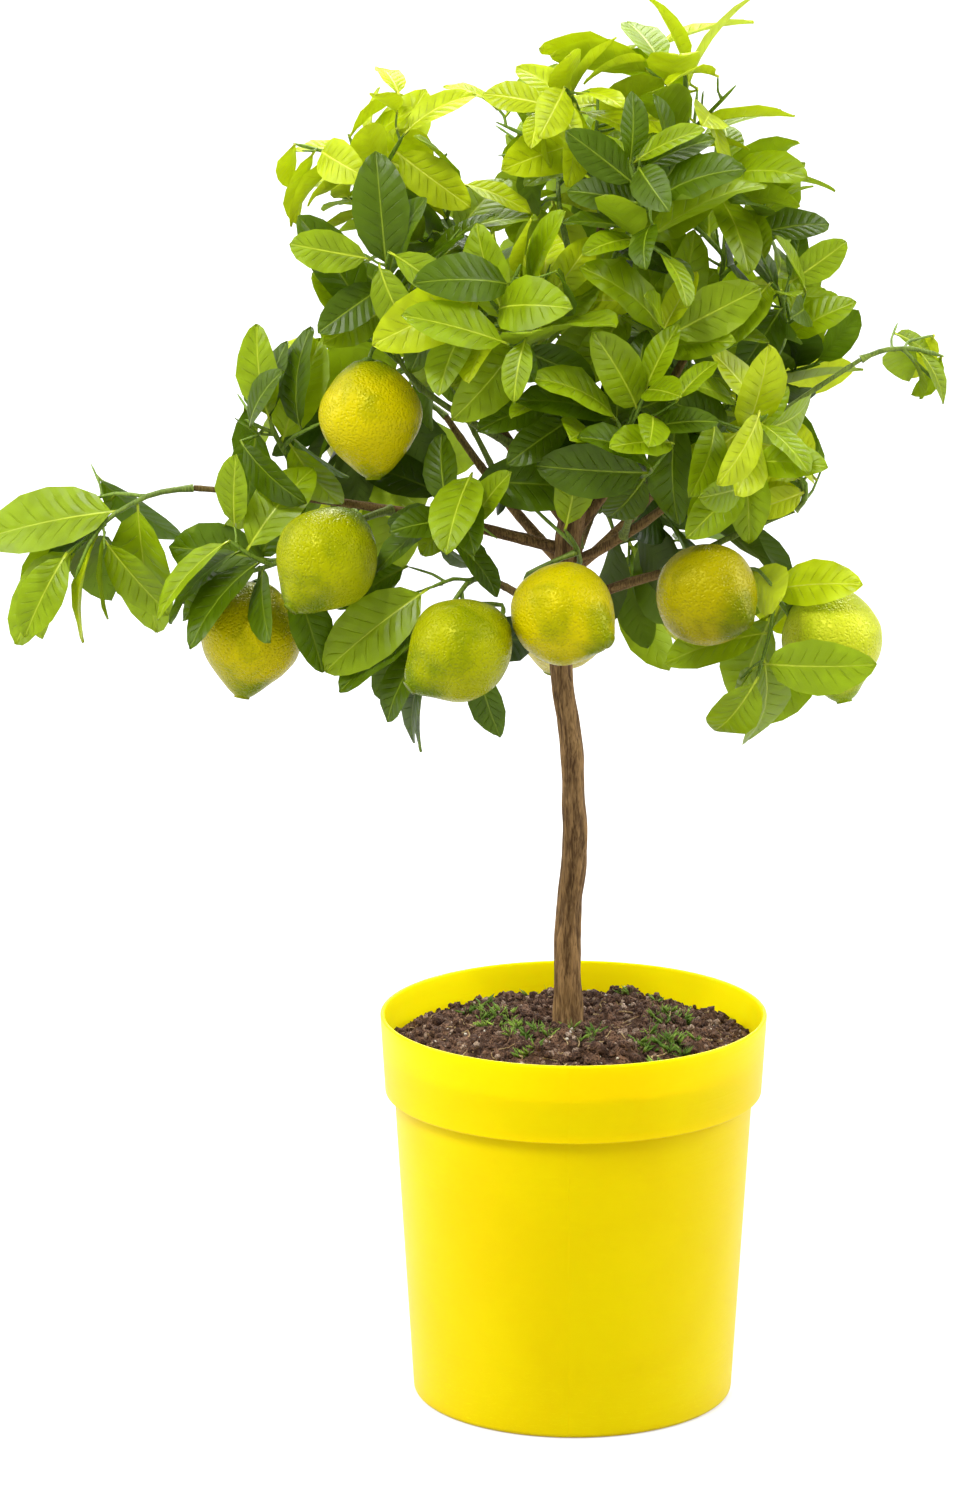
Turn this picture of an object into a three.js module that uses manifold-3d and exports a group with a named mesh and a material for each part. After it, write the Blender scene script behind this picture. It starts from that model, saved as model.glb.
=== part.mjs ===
// A four seasons lemon tree, grown as a small standard in a round plastic pot with a collar. Millimetres,
// +Z up. The origin is the centre of the pot's flat underside, and -Y is the side the tree is seen from.
// The trunk stands on the soil. Boughs leave its head, side boughs leave the boughs, and each ends where
// a mass of foliage begins. A mass is one stem with twigs, leaves and lemons that grow from it by a
// seeded rule.
import * as THREE from "three";
import { mergeVertices } from "three/addons/utils/BufferGeometryUtils.js";
import Module from "manifold-3d";

const wasm = await Module();
wasm.setup();

// Driving dimensions
const CLEARANCE = 0.3;
const GOLDEN_ANGLE = THREE.MathUtils.degToRad(137.508);
const UP = new THREE.Vector3(0, 0, 1);

const POT = {
  height: 255,
  footRadius: 104,
  footRounding: 4,
  waistRadius: 116,
  collarHeight: 51,
  collarFootRadius: 122,
  rimRadius: 125,
  wall: 2.8,
  floor: 4,
  sides: 40,
};
const SOIL = {
  edgeHeight: 231,
  moundHeight: 246,
  moundRadius: 16,
  wallGap: 0.8,
  shoulder: 3,
  rings: 4,
  sides: 32,
};
const TRUNK = {
  foot: SOIL.moundHeight + CLEARANCE,
  top: 594,
  flareRadius: 10.5,
  flareHeight: 16,
  lowRadius: 9,
  waistRadius: 7,
  waistShare: 0.65,
  headRadius: 8.4,
  // Sideways wander of the centre line at equal steps from the foot to the cut top
  wanderX: [-2.6, -4.2, -3, 0.3, -0.4, -2.6, -8.6, -8.2, -5.5, 1],
  wanderY: [0, 1.5, 2.5, 1, -1.5, -2, 0.5, 2, 1, 0],
  // The slanting cut at its head: degrees from level, and how far below the top it passes the middle
  cutSlant: 22,
  cutDrop: 4,
  sides: 8,
  steps: 18,
};
// Where along a limb its bend stands
const LIMB = { bend: 0.45, sides: 5, steps: 4 };
// A mass's stem: its bend, how far past the middle of the space it ends as a share of the reach, how far
// along it the leaves start, and how much the way out of the crown is turned upwards
const STEM = { radius: 2, bend: 0.45, pastMiddle: 0.22, leafyFrom: 0.45, lift: 30, steps: 3 };
const TWIG = {
  radius: 1.4,
  tipRadius: 1.1,
  sides: 3,
  steps: 2,
  // The stretch of the stem that bears twigs
  from: 0.2,
  to: 0.9,
  // Degrees between a twig and the stem, for the first and the last, and the random turn in radians
  leanAtFoot: 100,
  leanAtTip: 48,
  turn: 0.3,
  // How far out its tip stands as a share of the reach, its bend as a share of its length, and its least
  // length
  fill: [0.36, 0.6],
  bend: 0.3,
  leafyFrom: 0.25,
  shortest: 18,
};
const LEAF = {
  length: 88,
  halfWidth: 0.245,
  thickness: 0.014,
  sunk: 0.6,
  // The narrow stretch at its root: how far along it ends, and its depth there
  neck: 0.07,
  neckDepth: 0.6,
  // Rise of each half about the midrib, in radians
  fold: 0.18,
  spacing: 14,
  tries: 14,
  // The last leaf's place along its shoot
  last: 0.985,
  // Least and most of its length against the usual, of its curl in radians, and of its share of the
  // mass's hang
  lengths: [0.75, 1.12],
  curl: [0.25, 0.95],
  droop: [0.6, 1.4],
  // Least and most of the light from above, and of the light from outside the crown, that its face turns
  // to
  lightAbove: [0.15, 1],
  lightOutside: [0.5, 1.15],
  // What is left of a leaf's length each time it finds its place taken
  shrink: 0.97,
  // Spread of the leaves about the shoot, from its foot to its tip, and the random turn of each, in
  // degrees
  spreadAtFoot: 72,
  spreadAtTip: 30,
  jitter: 20,
  roll: 50,
  // The widest two places of its outline: how far along, and the share of the half width there
  outline: [
    [0.34, 0.88],
    [0.68, 0.86],
  ],
};
// The leaf's faces, by corner: four on top, which bend it twice across, then the underside about the
// keel.
const LEAF_FACES = [
  [0, 5, 1],
  [1, 5, 4],
  [1, 4, 2],
  [2, 4, 3],
  [0, 1, 6],
  [0, 6, 5],
  [6, 1, 7],
  [6, 7, 5],
  [1, 2, 7],
  [2, 3, 7],
  [3, 4, 7],
  [4, 5, 7],
];
const LEAF_EDGES = LEAF_FACES.flatMap((face) => face.map((from, i) => [from, face[(i + 1) % 3]])).filter(
  ([from, to]) => from < to,
);
// Where a leaf is felt for what it might touch: along it, and across it as a share of its half width. A
// spike stands there to either side of the blade, and an edge at the root is felt from a fifth of its
// length on.
const LEAF_SPIKE = 1;
const ROOT_SPARED = 0.2;
const LEAF_SPOTS = [
  [0.25, 0],
  [0.34, -0.85],
  [0.34, 0.85],
  [0.4, -0.4],
  [0.4, 0.4],
  [0.52, -0.88],
  [0.52, 0.88],
  [0.68, -0.8],
  [0.68, -0.35],
  [0.68, 0.35],
  [0.68, 0.8],
  [0.85, 0],
  [0.98, 0],
];
const LEMON = {
  length: 72,
  radius: 32,
  // How fully its ends are rounded: under 1 is fuller than an ellipse
  fullness: 0.62,
  nipple: 4,
  nippleRadius: 5,
  nippleSpread: 0.07,
  sides: 9,
  rings: 6,
  stalkRadius: 1.5,
  stalkBend: 0.4,
  stalkSunk: 5,
  // Where along the stem a stalk may start
  stalkPlaces: [0.3, 0.45, 0.6, 0.75, 0.9],
};
// How clear a shoot or leaf keeps of a limb or another shoot, and of a lemon
const ROOM = { limb: 0.8, lemon: 2.5 };
const CROWN_HEART = new THREE.Vector3(0, 10, 630);
// Leaves turn their faces out of the crown, and more to its front and back than to its sides and top
const FACING = new THREE.Vector3(0.35, 1, 0.45);
// The gaps that show as sky from the tree's front. Each is an oval way straight through the crown towards an
// eye in front of it, by its middle and its half sizes along X and Z on the plane y = 0.
const EYE = new THREE.Vector3(-55, -4000, 1400);
const SKY_GAPS = [
  { middle: [-13, 566], half: [46, 21] },
  { middle: [-95, 538], half: [19, 13] },
  { middle: [-54, 621], half: [10, 12] },
  { middle: [-62, 822], half: [17, 26] },
  { middle: [-169, 840], half: [32, 18] },
  { middle: [85, 752], half: [9, 10] },
  { middle: [175, 649], half: [25, 17] },
  { middle: [150, 573], half: [19, 7] },
  { middle: [-229, 660], half: [15, 47] },
  { middle: [101, 860], half: [23, 12] },
];

// Each limb: the limb it leaves and how far along, its tip, its arch above the straight line as a share
// of its length, and its radius at the foot and the tip.
const LIMBS = {
  bough_leader: {
    from: "trunk", at: 0.965, tip: [16, 4, 772], arch: 0.02, radii: [4.6, 2.4],
  },
  bough_left_rising: {
    from: "trunk", at: 0.945, tip: [-108, -12, 748], arch: -0.1, radii: [4.4, 2.4],
  },
  bough_right_rising: {
    from: "trunk", at: 0.92, tip: [84, 0, 714], arch: -0.1, radii: [4.2, 2.3],
  },
  bough_left: {
    from: "trunk", at: 0.9, tip: [-240, -40, 608], arch: 0.06, radii: [4.2, 1.9],
  },
  bough_right: {
    from: "trunk", at: 0.87, tip: [92, -52, 628], arch: -0.08, radii: [3.9, 2.2],
  },
  bough_back_left: {
    from: "trunk", at: 0.872, tip: [-82, 62, 634], arch: -0.08, radii: [3.9, 2.2],
  },
  bough_back_right: {
    from: "trunk", at: 0.85, tip: [84, 66, 622], arch: -0.08, radii: [3.9, 2.2],
  },
  bough_back: {
    from: "trunk", at: 0.82, tip: [12, 72, 568], arch: 0.05, radii: [3.9, 2.2],
  },
  bough_right_low: {
    from: "trunk", at: 0.79, tip: [84, -42, 560], arch: 0.07, radii: [3.9, 2.3],
  },
  bough_front_left: {
    from: "trunk", at: 0.76, tip: [-56, -66, 556], arch: 0.05, radii: [3.7, 2.2],
  },
  bough_top_right: {
    from: "bough_leader", at: 0.55, tip: [58, 12, 776], arch: -0.06, radii: [2.7, 1.9],
  },
  bough_back_top: {
    from: "bough_leader", at: 0.62, tip: [-8, 40, 762], arch: -0.06, radii: [2.6, 1.9],
  },
  bough_front_upper: {
    from: "bough_leader", at: 0.42, tip: [18, -46, 738], arch: -0.04, radii: [2.6, 1.9],
  },
  bough_front_centre: {
    from: "bough_leader", at: 0.2, tip: [-18, -62, 672], arch: -0.06, radii: [2.8, 1.9],
  },
  bough_left_heart: {
    from: "bough_left_rising", at: 0.62, tip: [-66, -4, 722], arch: 0.02, radii: [2.5, 1.8],
  },
  bough_left_inner: {
    from: "bough_left_rising", at: 0.4, tip: [-96, -48, 672], arch: -0.04, radii: [2.7, 1.9],
  },
  bough_right_heart: {
    from: "bough_right_rising", at: 0.4, tip: [50, -26, 676], arch: 0.02, radii: [2.5, 1.8],
  },
  bough_right_outer: {
    from: "bough_right_rising", at: 0.55, tip: [118, -18, 682], arch: 0.05, radii: [2.6, 1.8],
  },
  bough_right_end: {
    from: "bough_right", at: 0.72, tip: [178, -30, 688], arch: 0.06, radii: [2.3, 1.5],
  },
  bough_right_side: {
    from: "bough_right_low", at: 0.7, tip: [138, -22, 590], arch: 0.05, radii: [2.4, 1.6],
  },
  bough_centre: {
    from: "bough_right", at: 0.4, tip: [36, -60, 606], arch: -0.04, radii: [2.6, 1.8],
  },
  bough_front_low: {
    from: "bough_front_left", at: 0.45, tip: [-2, -72, 562], arch: 0.08, radii: [2.5, 1.8],
  },
  bough_centre_left: {
    from: "bough_left", at: 0.26, tip: [-62, -54, 606], arch: 0.05, radii: [2.6, 1.8],
  },
  bough_left_low: {
    from: "bough_left", at: 0.5, tip: [-160, -62, 578], arch: 0.08, radii: [2.5, 1.8],
  },
  bough_left_high: {
    from: "bough_left", at: 0.66, tip: [-178, -46, 626], arch: -0.05, radii: [2.4, 1.7],
  },
  bough_back_centre: {
    from: "bough_back", at: 0.55, tip: [4, 64, 640], arch: -0.06, radii: [2.6, 1.8],
  },
  bough_left_back: {
    from: "bough_back_left", at: 0.5, tip: [-68, 20, 640], arch: 0.04, radii: [2.4, 1.7],
  },
  bough_right_back: {
    from: "bough_back_right", at: 0.5, tip: [66, 22, 636], arch: 0.04, radii: [2.4, 1.7],
  },
};

// Each mass of foliage: the limb it grows on, the middle of its space and how far it reaches each way,
// its twigs, its leaf size against the usual one, how far the leaves hang, its seed and its lemons. A
// lemon has its middle and the way that its nipple points.
const FOLIAGE = {
  foliage_top: {
    limb: "bough_leader", middle: [-5, 6, 837], reach: [88, 85, 68],
    twigs: 3, leaf: 0.8, hang: 0.1, seed: 104,
  },
  foliage_top_right: {
    limb: "bough_top_right", middle: [62, 4, 853], reach: [96, 69, 73],
    twigs: 3, leaf: 0.95, hang: 0, seed: 426,
  },
  foliage_back_top: {
    limb: "bough_back_top", middle: [-7, 86, 784], reach: [96, 79, 70],
    twigs: 3, leaf: 1, hang: 0.2, seed: 180,
  },
  foliage_front_upper: {
    limb: "bough_front_upper", middle: [46, -83, 784], reach: [80, 62, 81],
    twigs: 3, leaf: 0.95, hang: 0.05, seed: 158,
  },
  foliage_upper_left: {
    limb: "bough_left_rising", middle: [-132, -17, 817], reach: [91, 64, 61],
    twigs: 3, leaf: 0.82, hang: 0.2, seed: 912,
  },
  foliage_left_heart: {
    limb: "bough_left_heart", middle: [-82, -2, 773], reach: [83, 88, 71],
    twigs: 3, leaf: 0.95, hang: 0, seed: 302,
  },
  foliage_left_inner: {
    limb: "bough_left_inner", middle: [-106, -74, 751], reach: [82, 61, 79],
    twigs: 3, leaf: 1, hang: 0.15, seed: 474,
    lemons: [{ middle: [-128, -92, 664], nipple: [0.05, -0.15, -1] }],
  },
  foliage_front_centre: {
    limb: "bough_front_centre", middle: [-52, -104, 733], reach: [86, 79, 75],
    twigs: 4, leaf: 1, hang: 0.2, seed: 816,
  },
  foliage_right_upper: {
    limb: "bough_right_rising", middle: [81, -7, 785], reach: [84, 85, 67],
    twigs: 4, leaf: 0.95, hang: 0.05, seed: 809,
  },
  foliage_right_heart: {
    limb: "bough_right_heart", middle: [38, -60, 720], reach: [87, 78, 60],
    twigs: 3, leaf: 1, hang: 0.1, seed: 35,
  },
  foliage_right_outer: {
    limb: "bough_right_outer", middle: [115, -23, 728], reach: [64, 71, 63],
    twigs: 2, leaf: 0.8, hang: 0.4, seed: 386,
  },
  foliage_right_end: {
    limb: "bough_right_end", middle: [223, -10, 684], reach: [40, 40, 34],
    twigs: 1, leaf: 0.66, hang: 0.55, seed: 695,
  },
  foliage_right_middle: {
    limb: "bough_right", middle: [92, -90, 652], reach: [69, 73, 75],
    twigs: 4, leaf: 1, hang: 0.4, seed: 19,
  },
  foliage_right_side: {
    limb: "bough_right_side", middle: [118, -17, 626], reach: [52, 42, 49],
    twigs: 3, leaf: 0.65, hang: 0.4, seed: 391,
  },
  foliage_right_low: {
    limb: "bough_right_low", middle: [131, -71, 521], reach: [87, 87, 82],
    twigs: 4, leaf: 1.05, hang: 0.2, seed: 545,
    lemons: [
      { middle: [80, -112, 555], nipple: [0.62, -0.74, -0.26] },
      { middle: [160, -72, 518], nipple: [0.2, -0.15, -0.97] },
    ],
  },
  foliage_centre: {
    limb: "bough_centre", middle: [20, -104, 660], reach: [85, 71, 77],
    twigs: 3, leaf: 0.95, hang: 0.1, seed: 304,
  },
  foliage_front_low: {
    limb: "bough_front_low", middle: [-7, -91, 596], reach: [70, 70, 64],
    twigs: 2, leaf: 0.95, hang: 0.25, seed: 907,
    lemons: [{ middle: [-9, -128, 547], nipple: [0.7, -0.64, -0.3] }],
  },
  foliage_front_left_low: {
    limb: "bough_front_left", middle: [-83, -96, 521], reach: [77, 67, 74],
    twigs: 4, leaf: 1, hang: 0.3, seed: 180,
    lemons: [{ middle: [-73, -138, 526], nipple: [-0.78, -0.34, -0.52] }],
  },
  foliage_centre_left: {
    limb: "bough_centre_left", middle: [-70, -91, 605], reach: [81, 69, 65],
    twigs: 3, leaf: 1, hang: 0.05, seed: 295,
  },
  foliage_left_low: {
    limb: "bough_left_low", middle: [-199, -71, 562], reach: [77, 63, 84],
    twigs: 4, leaf: 1, hang: 0.6, seed: 195,
    lemons: [
      { middle: [-155, -112, 578], nipple: [-0.56, -0.42, -0.72] },
      { middle: [-204, -62, 518], nipple: [-0.15, -0.2, -0.97] },
    ],
  },
  foliage_left_high: {
    limb: "bough_left_high", middle: [-179, -56, 650], reach: [63, 44, 96],
    twigs: 2, leaf: 1, hang: 0, seed: 305,
  },
  foliage_far_left: {
    limb: "bough_left", middle: [-299, -37, 567], reach: [86, 51, 87],
    twigs: 2, leaf: 1.4, hang: 0.65, seed: 361,
  },
  foliage_back_low: {
    limb: "bough_back", middle: [56, 113, 530], reach: [91, 84, 87],
    twigs: 4, leaf: 1, hang: 0.35, seed: 799,
    lemons: [
      { middle: [88, 118, 499], nipple: [0.25, 0.2, -0.95] },
      { middle: [-6, 138, 483], nipple: [-0.2, 0.3, -0.93] },
    ],
  },
  foliage_back_left: {
    limb: "bough_back_left", middle: [-129, 89, 615], reach: [96, 80, 96],
    twigs: 5, leaf: 1, hang: 0.2, seed: 21,
    lemons: [{ middle: [-132, 122, 614], nipple: [-0.2, 0.2, -0.96] }],
  },
  foliage_back_right: {
    limb: "bough_back_right", middle: [111, 93, 649], reach: [96, 79, 85],
    twigs: 5, leaf: 1, hang: 0.05, seed: 263,
  },
  foliage_back_centre: {
    limb: "bough_back_centre", middle: [-6, 113, 713], reach: [85, 82, 72],
    twigs: 4, leaf: 1, hang: 0.2, seed: 677,
  },
  foliage_left_back: {
    limb: "bough_left_back", middle: [-79, 18, 692], reach: [60, 71, 62],
    twigs: 3, leaf: 0.95, hang: 0.4, seed: 494,
  },
  foliage_right_back: {
    limb: "bough_right_back", middle: [62, 26, 682], reach: [64, 56, 62],
    twigs: 3, leaf: 0.95, hang: 0.2, seed: 735,
  },
};

const MATERIALS = {
  pot: new THREE.MeshStandardMaterial({ color: 0xffe600, roughness: 0.38, metalness: 0 }),
  soil: new THREE.MeshStandardMaterial({ color: 0x4b352a, roughness: 0.95, metalness: 0 }),
  bark: new THREE.MeshStandardMaterial({ color: 0x7a5b3e, roughness: 0.85, metalness: 0 }),
  greenwood: new THREE.MeshStandardMaterial({ color: 0x5d6b2a, roughness: 0.7, metalness: 0 }),
  foliage: new THREE.MeshStandardMaterial({
    color: 0x5f9a14,
    roughness: 0.45,
    metalness: 0,
    flatShading: true,
  }),
};

// A stream of numbers from 0 to 1 that is the same each time the part is built.
class SeededDraw {
  constructor(seed) {
    this.state = seed >>> 0;
  }

  next() {
    this.state = (this.state + 0x6d2b79f5) >>> 0;
    let mixed = this.state;
    mixed = Math.imul(mixed ^ (mixed >>> 15), mixed | 1);
    mixed ^= mixed + Math.imul(mixed ^ (mixed >>> 7), mixed | 61);
    return ((mixed ^ (mixed >>> 14)) >>> 0) / 4294967296;
  }

  between(low, high) {
    return low + (high - low) * this.next();
  }
}

const vector = (place) => new THREE.Vector3(...place);
const radians = THREE.MathUtils.degToRad;

// Turns an indexed geometry into a closed solid, with its faces outwards.
function solidFrom(geometry) {
  const bare = geometry.clone();
  bare.deleteAttribute("normal");
  bare.deleteAttribute("uv");
  const merged = mergeVertices(bare, 1e-3);
  const corners = new Float32Array(merged.attributes.position.array);
  const faces = new Uint32Array(merged.index.array);
  const build = () =>
    new wasm.Manifold(new wasm.Mesh({ numProp: 3, vertProperties: corners, triVerts: faces }));
  const solid = build();
  if (solid.volume() > 0) return solid;
  for (let i = 0; i < faces.length; i += 3) {
    [faces[i + 1], faces[i + 2]] = [faces[i + 2], faces[i + 1]];
  }
  return build();
}

// Turns a solid back into a named mesh.
function meshFrom(name, solid, material) {
  const made = solid.getMesh();
  const geometry = new THREE.BufferGeometry();
  geometry.setAttribute("position", new THREE.BufferAttribute(new Float32Array(made.vertProperties), 3));
  geometry.setIndex(new THREE.BufferAttribute(new Uint32Array(made.triVerts), 1));
  geometry.computeVertexNormals();
  const mesh = new THREE.Mesh(geometry, material);
  mesh.name = name;
  return mesh;
}

// A closed geometry from points and faces that index them.
function geometryFrom(points, faces) {
  const geometry = new THREE.BufferGeometry().setFromPoints(points);
  geometry.setIndex(faces);
  return geometry;
}

// The unit vectors across a path: side and rise, steady along it because they lean on the world axis that
// the path runs along least.
function acrossPath(tangent, chord) {
  const sizes = chord.toArray().map(Math.abs);
  const least = sizes.indexOf(Math.min(...sizes));
  const steady = vector([0, 1, 2].map((axis) => (axis === least ? 1 : 0)));
  const side = new THREE.Vector3().crossVectors(tangent, steady).normalize();
  const rise = new THREE.Vector3().crossVectors(side, tangent).normalize();
  return { side, rise };
}

// A round limb carried along a curve, its radius following a rule, with a flat cut at each end.
function limbGeometry(curve, radiusAt, sides, steps) {
  const chord = curve.getPoint(1).sub(curve.getPoint(0));
  const points = [];
  for (let i = 0; i <= steps; i += 1) {
    const along = i / steps;
    const centre = curve.getPoint(along);
    const { side, rise } = acrossPath(curve.getTangent(along), chord);
    for (let k = 0; k < sides; k += 1) {
      const angle = (2 * Math.PI * k) / sides;
      points.push(
        centre
          .clone()
          .addScaledVector(side, radiusAt(along) * Math.cos(angle))
          .addScaledVector(rise, radiusAt(along) * Math.sin(angle)),
      );
    }
  }
  const faces = [];
  for (let i = 0; i < steps; i += 1) {
    for (let k = 0; k < sides; k += 1) {
      const [a, b] = [i * sides + k, i * sides + ((k + 1) % sides)];
      faces.push(a, b, b + sides, a, b + sides, a + sides);
    }
  }
  const last = steps * sides;
  for (let k = 1; k < sides - 1; k += 1) {
    faces.push(0, k + 1, k, last, last + k, last + k + 1);
  }
  return geometryFrom(points, faces);
}

// A solid turned about +Z from an outline of [radius, height] that starts and ends on the axis.
function turnedGeometry(outline, sides) {
  const points = outline.map(([radius, height]) => new THREE.Vector2(radius, height));
  return new THREE.LatheGeometry(points, sides).rotateX(Math.PI / 2);
}

// The pot: a tapered shell with a rounded foot edge, a wide collar round its mouth and a rounded rim.
function potSolid() {
  const { height, footRadius, footRounding, waistRadius, collarFootRadius, rimRadius, wall, floor } = POT;
  const collarFoot = height - POT.collarHeight;
  const round = (fromAngle, toAngle, centre, radius) =>
    [0, 0.5, 1].map((share) => {
      const angle = radians(fromAngle + (toAngle - fromAngle) * share);
      return [centre[0] + radius * Math.cos(angle), centre[1] + radius * Math.sin(angle)];
    });
  const half = wall / 2;
  return solidFrom(
    turnedGeometry(
      [
        [0, 0],
        ...round(-90, 0, [footRadius - footRounding, footRounding], footRounding),
        [waistRadius, collarFoot - 1],
        [collarFootRadius, collarFoot],
        ...round(0, 180, [rimRadius - half, height - half], half),
        [collarFootRadius - wall, collarFoot + wall],
        [waistRadius - wall, collarFoot],
        [footRadius - wall, floor],
        [0, floor],
      ],
      POT.sides,
    ),
  );
}

// The inner radius of the pot's wall at a height, on the tapered stretch and in the collar.
function potInside(height) {
  const collarFoot = POT.height - POT.collarHeight;
  const inCollar = height > collarFoot + POT.wall;
  const [low, high] = inCollar ? [collarFoot + POT.wall, POT.height] : [POT.floor, collarFoot];
  const narrow = inCollar ? POT.collarFootRadius : POT.footRadius;
  const wide = inCollar ? POT.rimRadius : POT.waistRadius;
  return narrow + ((wide - narrow) * (height - low)) / (high - low) - POT.wall;
}

// The soil: it fills the pot to below the rim and heaps up to a flat spot where the trunk stands.
function soilSolid() {
  const collarFoot = POT.height - POT.collarHeight;
  const edge = potInside(SOIL.edgeHeight) - SOIL.wallGap;
  const outline = [
    [0, POT.floor + CLEARANCE],
    [potInside(POT.floor) - SOIL.wallGap, POT.floor + CLEARANCE],
    [potInside(collarFoot) - SOIL.wallGap, collarFoot],
    [edge - SOIL.shoulder, collarFoot + POT.wall + SOIL.shoulder],
    [edge, SOIL.edgeHeight],
  ];
  for (let i = 1; i <= SOIL.rings; i += 1) {
    const share = i / SOIL.rings;
    const radius = THREE.MathUtils.lerp(edge, SOIL.moundRadius, share);
    const height = THREE.MathUtils.lerp(SOIL.edgeHeight, SOIL.moundHeight, Math.sin((share * Math.PI) / 2));
    outline.push([radius, height]);
  }
  outline.push([0, SOIL.moundHeight]);
  return solidFrom(turnedGeometry(outline, SOIL.sides));
}

// The trunk's centre line, wandering a little as it climbs.
function trunkCurve() {
  const last = TRUNK.wanderX.length - 1;
  const points = TRUNK.wanderX.map(
    (x, i) => new THREE.Vector3(x, TRUNK.wanderY[i], THREE.MathUtils.lerp(TRUNK.foot, TRUNK.top, i / last)),
  );
  return new THREE.CatmullRomCurve3(points, false, "catmullrom", 0.5);
}

// The trunk's radius: flared at the soil, thinnest at mid height and swollen again at the head.
function trunkRadius(along) {
  const height = along * (TRUNK.top - TRUNK.foot);
  const flare = (TRUNK.flareRadius - TRUNK.lowRadius) * Math.exp(-height / TRUNK.flareHeight);
  const { lowRadius, waistRadius, headRadius, waistShare } = TRUNK;
  const plain =
    along < waistShare
      ? THREE.MathUtils.lerp(lowRadius, waistRadius, along / waistShare)
      : THREE.MathUtils.lerp(waistRadius, headRadius, THREE.MathUtils.smoothstep(along, waistShare, 1));
  return plain + flare;
}

// The trunk with its foot cut level and its head cut on a slant, where the first leader was pruned off.
function trunkSolid() {
  const curve = trunkCurve();
  const solid = solidFrom(limbGeometry(curve, trunkRadius, TRUNK.sides, TRUNK.steps));
  const size = 8 * TRUNK.flareRadius;
  const block = new THREE.BoxGeometry(size, size, size);
  const below = solidFrom(block.clone().translate(0, 0, TRUNK.foot - size / 2));
  const above = block.clone().translate(0, 0, size / 2);
  const middle = [curve.getPoint(1).x, 0, TRUNK.top - TRUNK.cutDrop];
  const slant = solidFrom(above.rotateY(radians(TRUNK.cutSlant)).translate(...middle));
  return solid.subtract(below).subtract(slant);
}

// All limbs, each with its curve, its radius rule and its clear form, which is a little thicker.
function growLimbs() {
  const { sides, steps } = TRUNK;
  const limbs = { trunk: { curve: trunkCurve(), radiusAt: trunkRadius, sides, steps } };
  for (const [name, plan] of Object.entries(LIMBS)) {
    const start = limbs[plan.from].curve.getPoint(plan.at);
    const tip = vector(plan.tip);
    const arch = plan.arch * start.distanceTo(tip);
    const bend = start.clone().lerp(tip, LIMB.bend).addScaledVector(UP, arch);
    limbs[name] = {
      curve: new THREE.QuadraticBezierCurve3(start, bend, tip),
      radiusAt: (along) => THREE.MathUtils.lerp(plan.radii[0], plan.radii[1], along),
      sides: LIMB.sides,
      steps: LIMB.steps,
    };
  }
  return limbs;
}

// A point on the straight stretches that a limb of some steps has for its middle line.
function onStretches(curve, steps, along) {
  const step = Math.min(Math.floor(along * steps), steps - 1);
  return curve.getPoint(step / steps).lerp(curve.getPoint((step + 1) / steps), along * steps - step);
}

// A limb's solid, thicker by a margin.
function limbSolid({ curve, radiusAt, sides, steps }, margin = 0) {
  return solidFrom(limbGeometry(curve, (along) => radiusAt(along) + margin, sides, steps));
}

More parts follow.
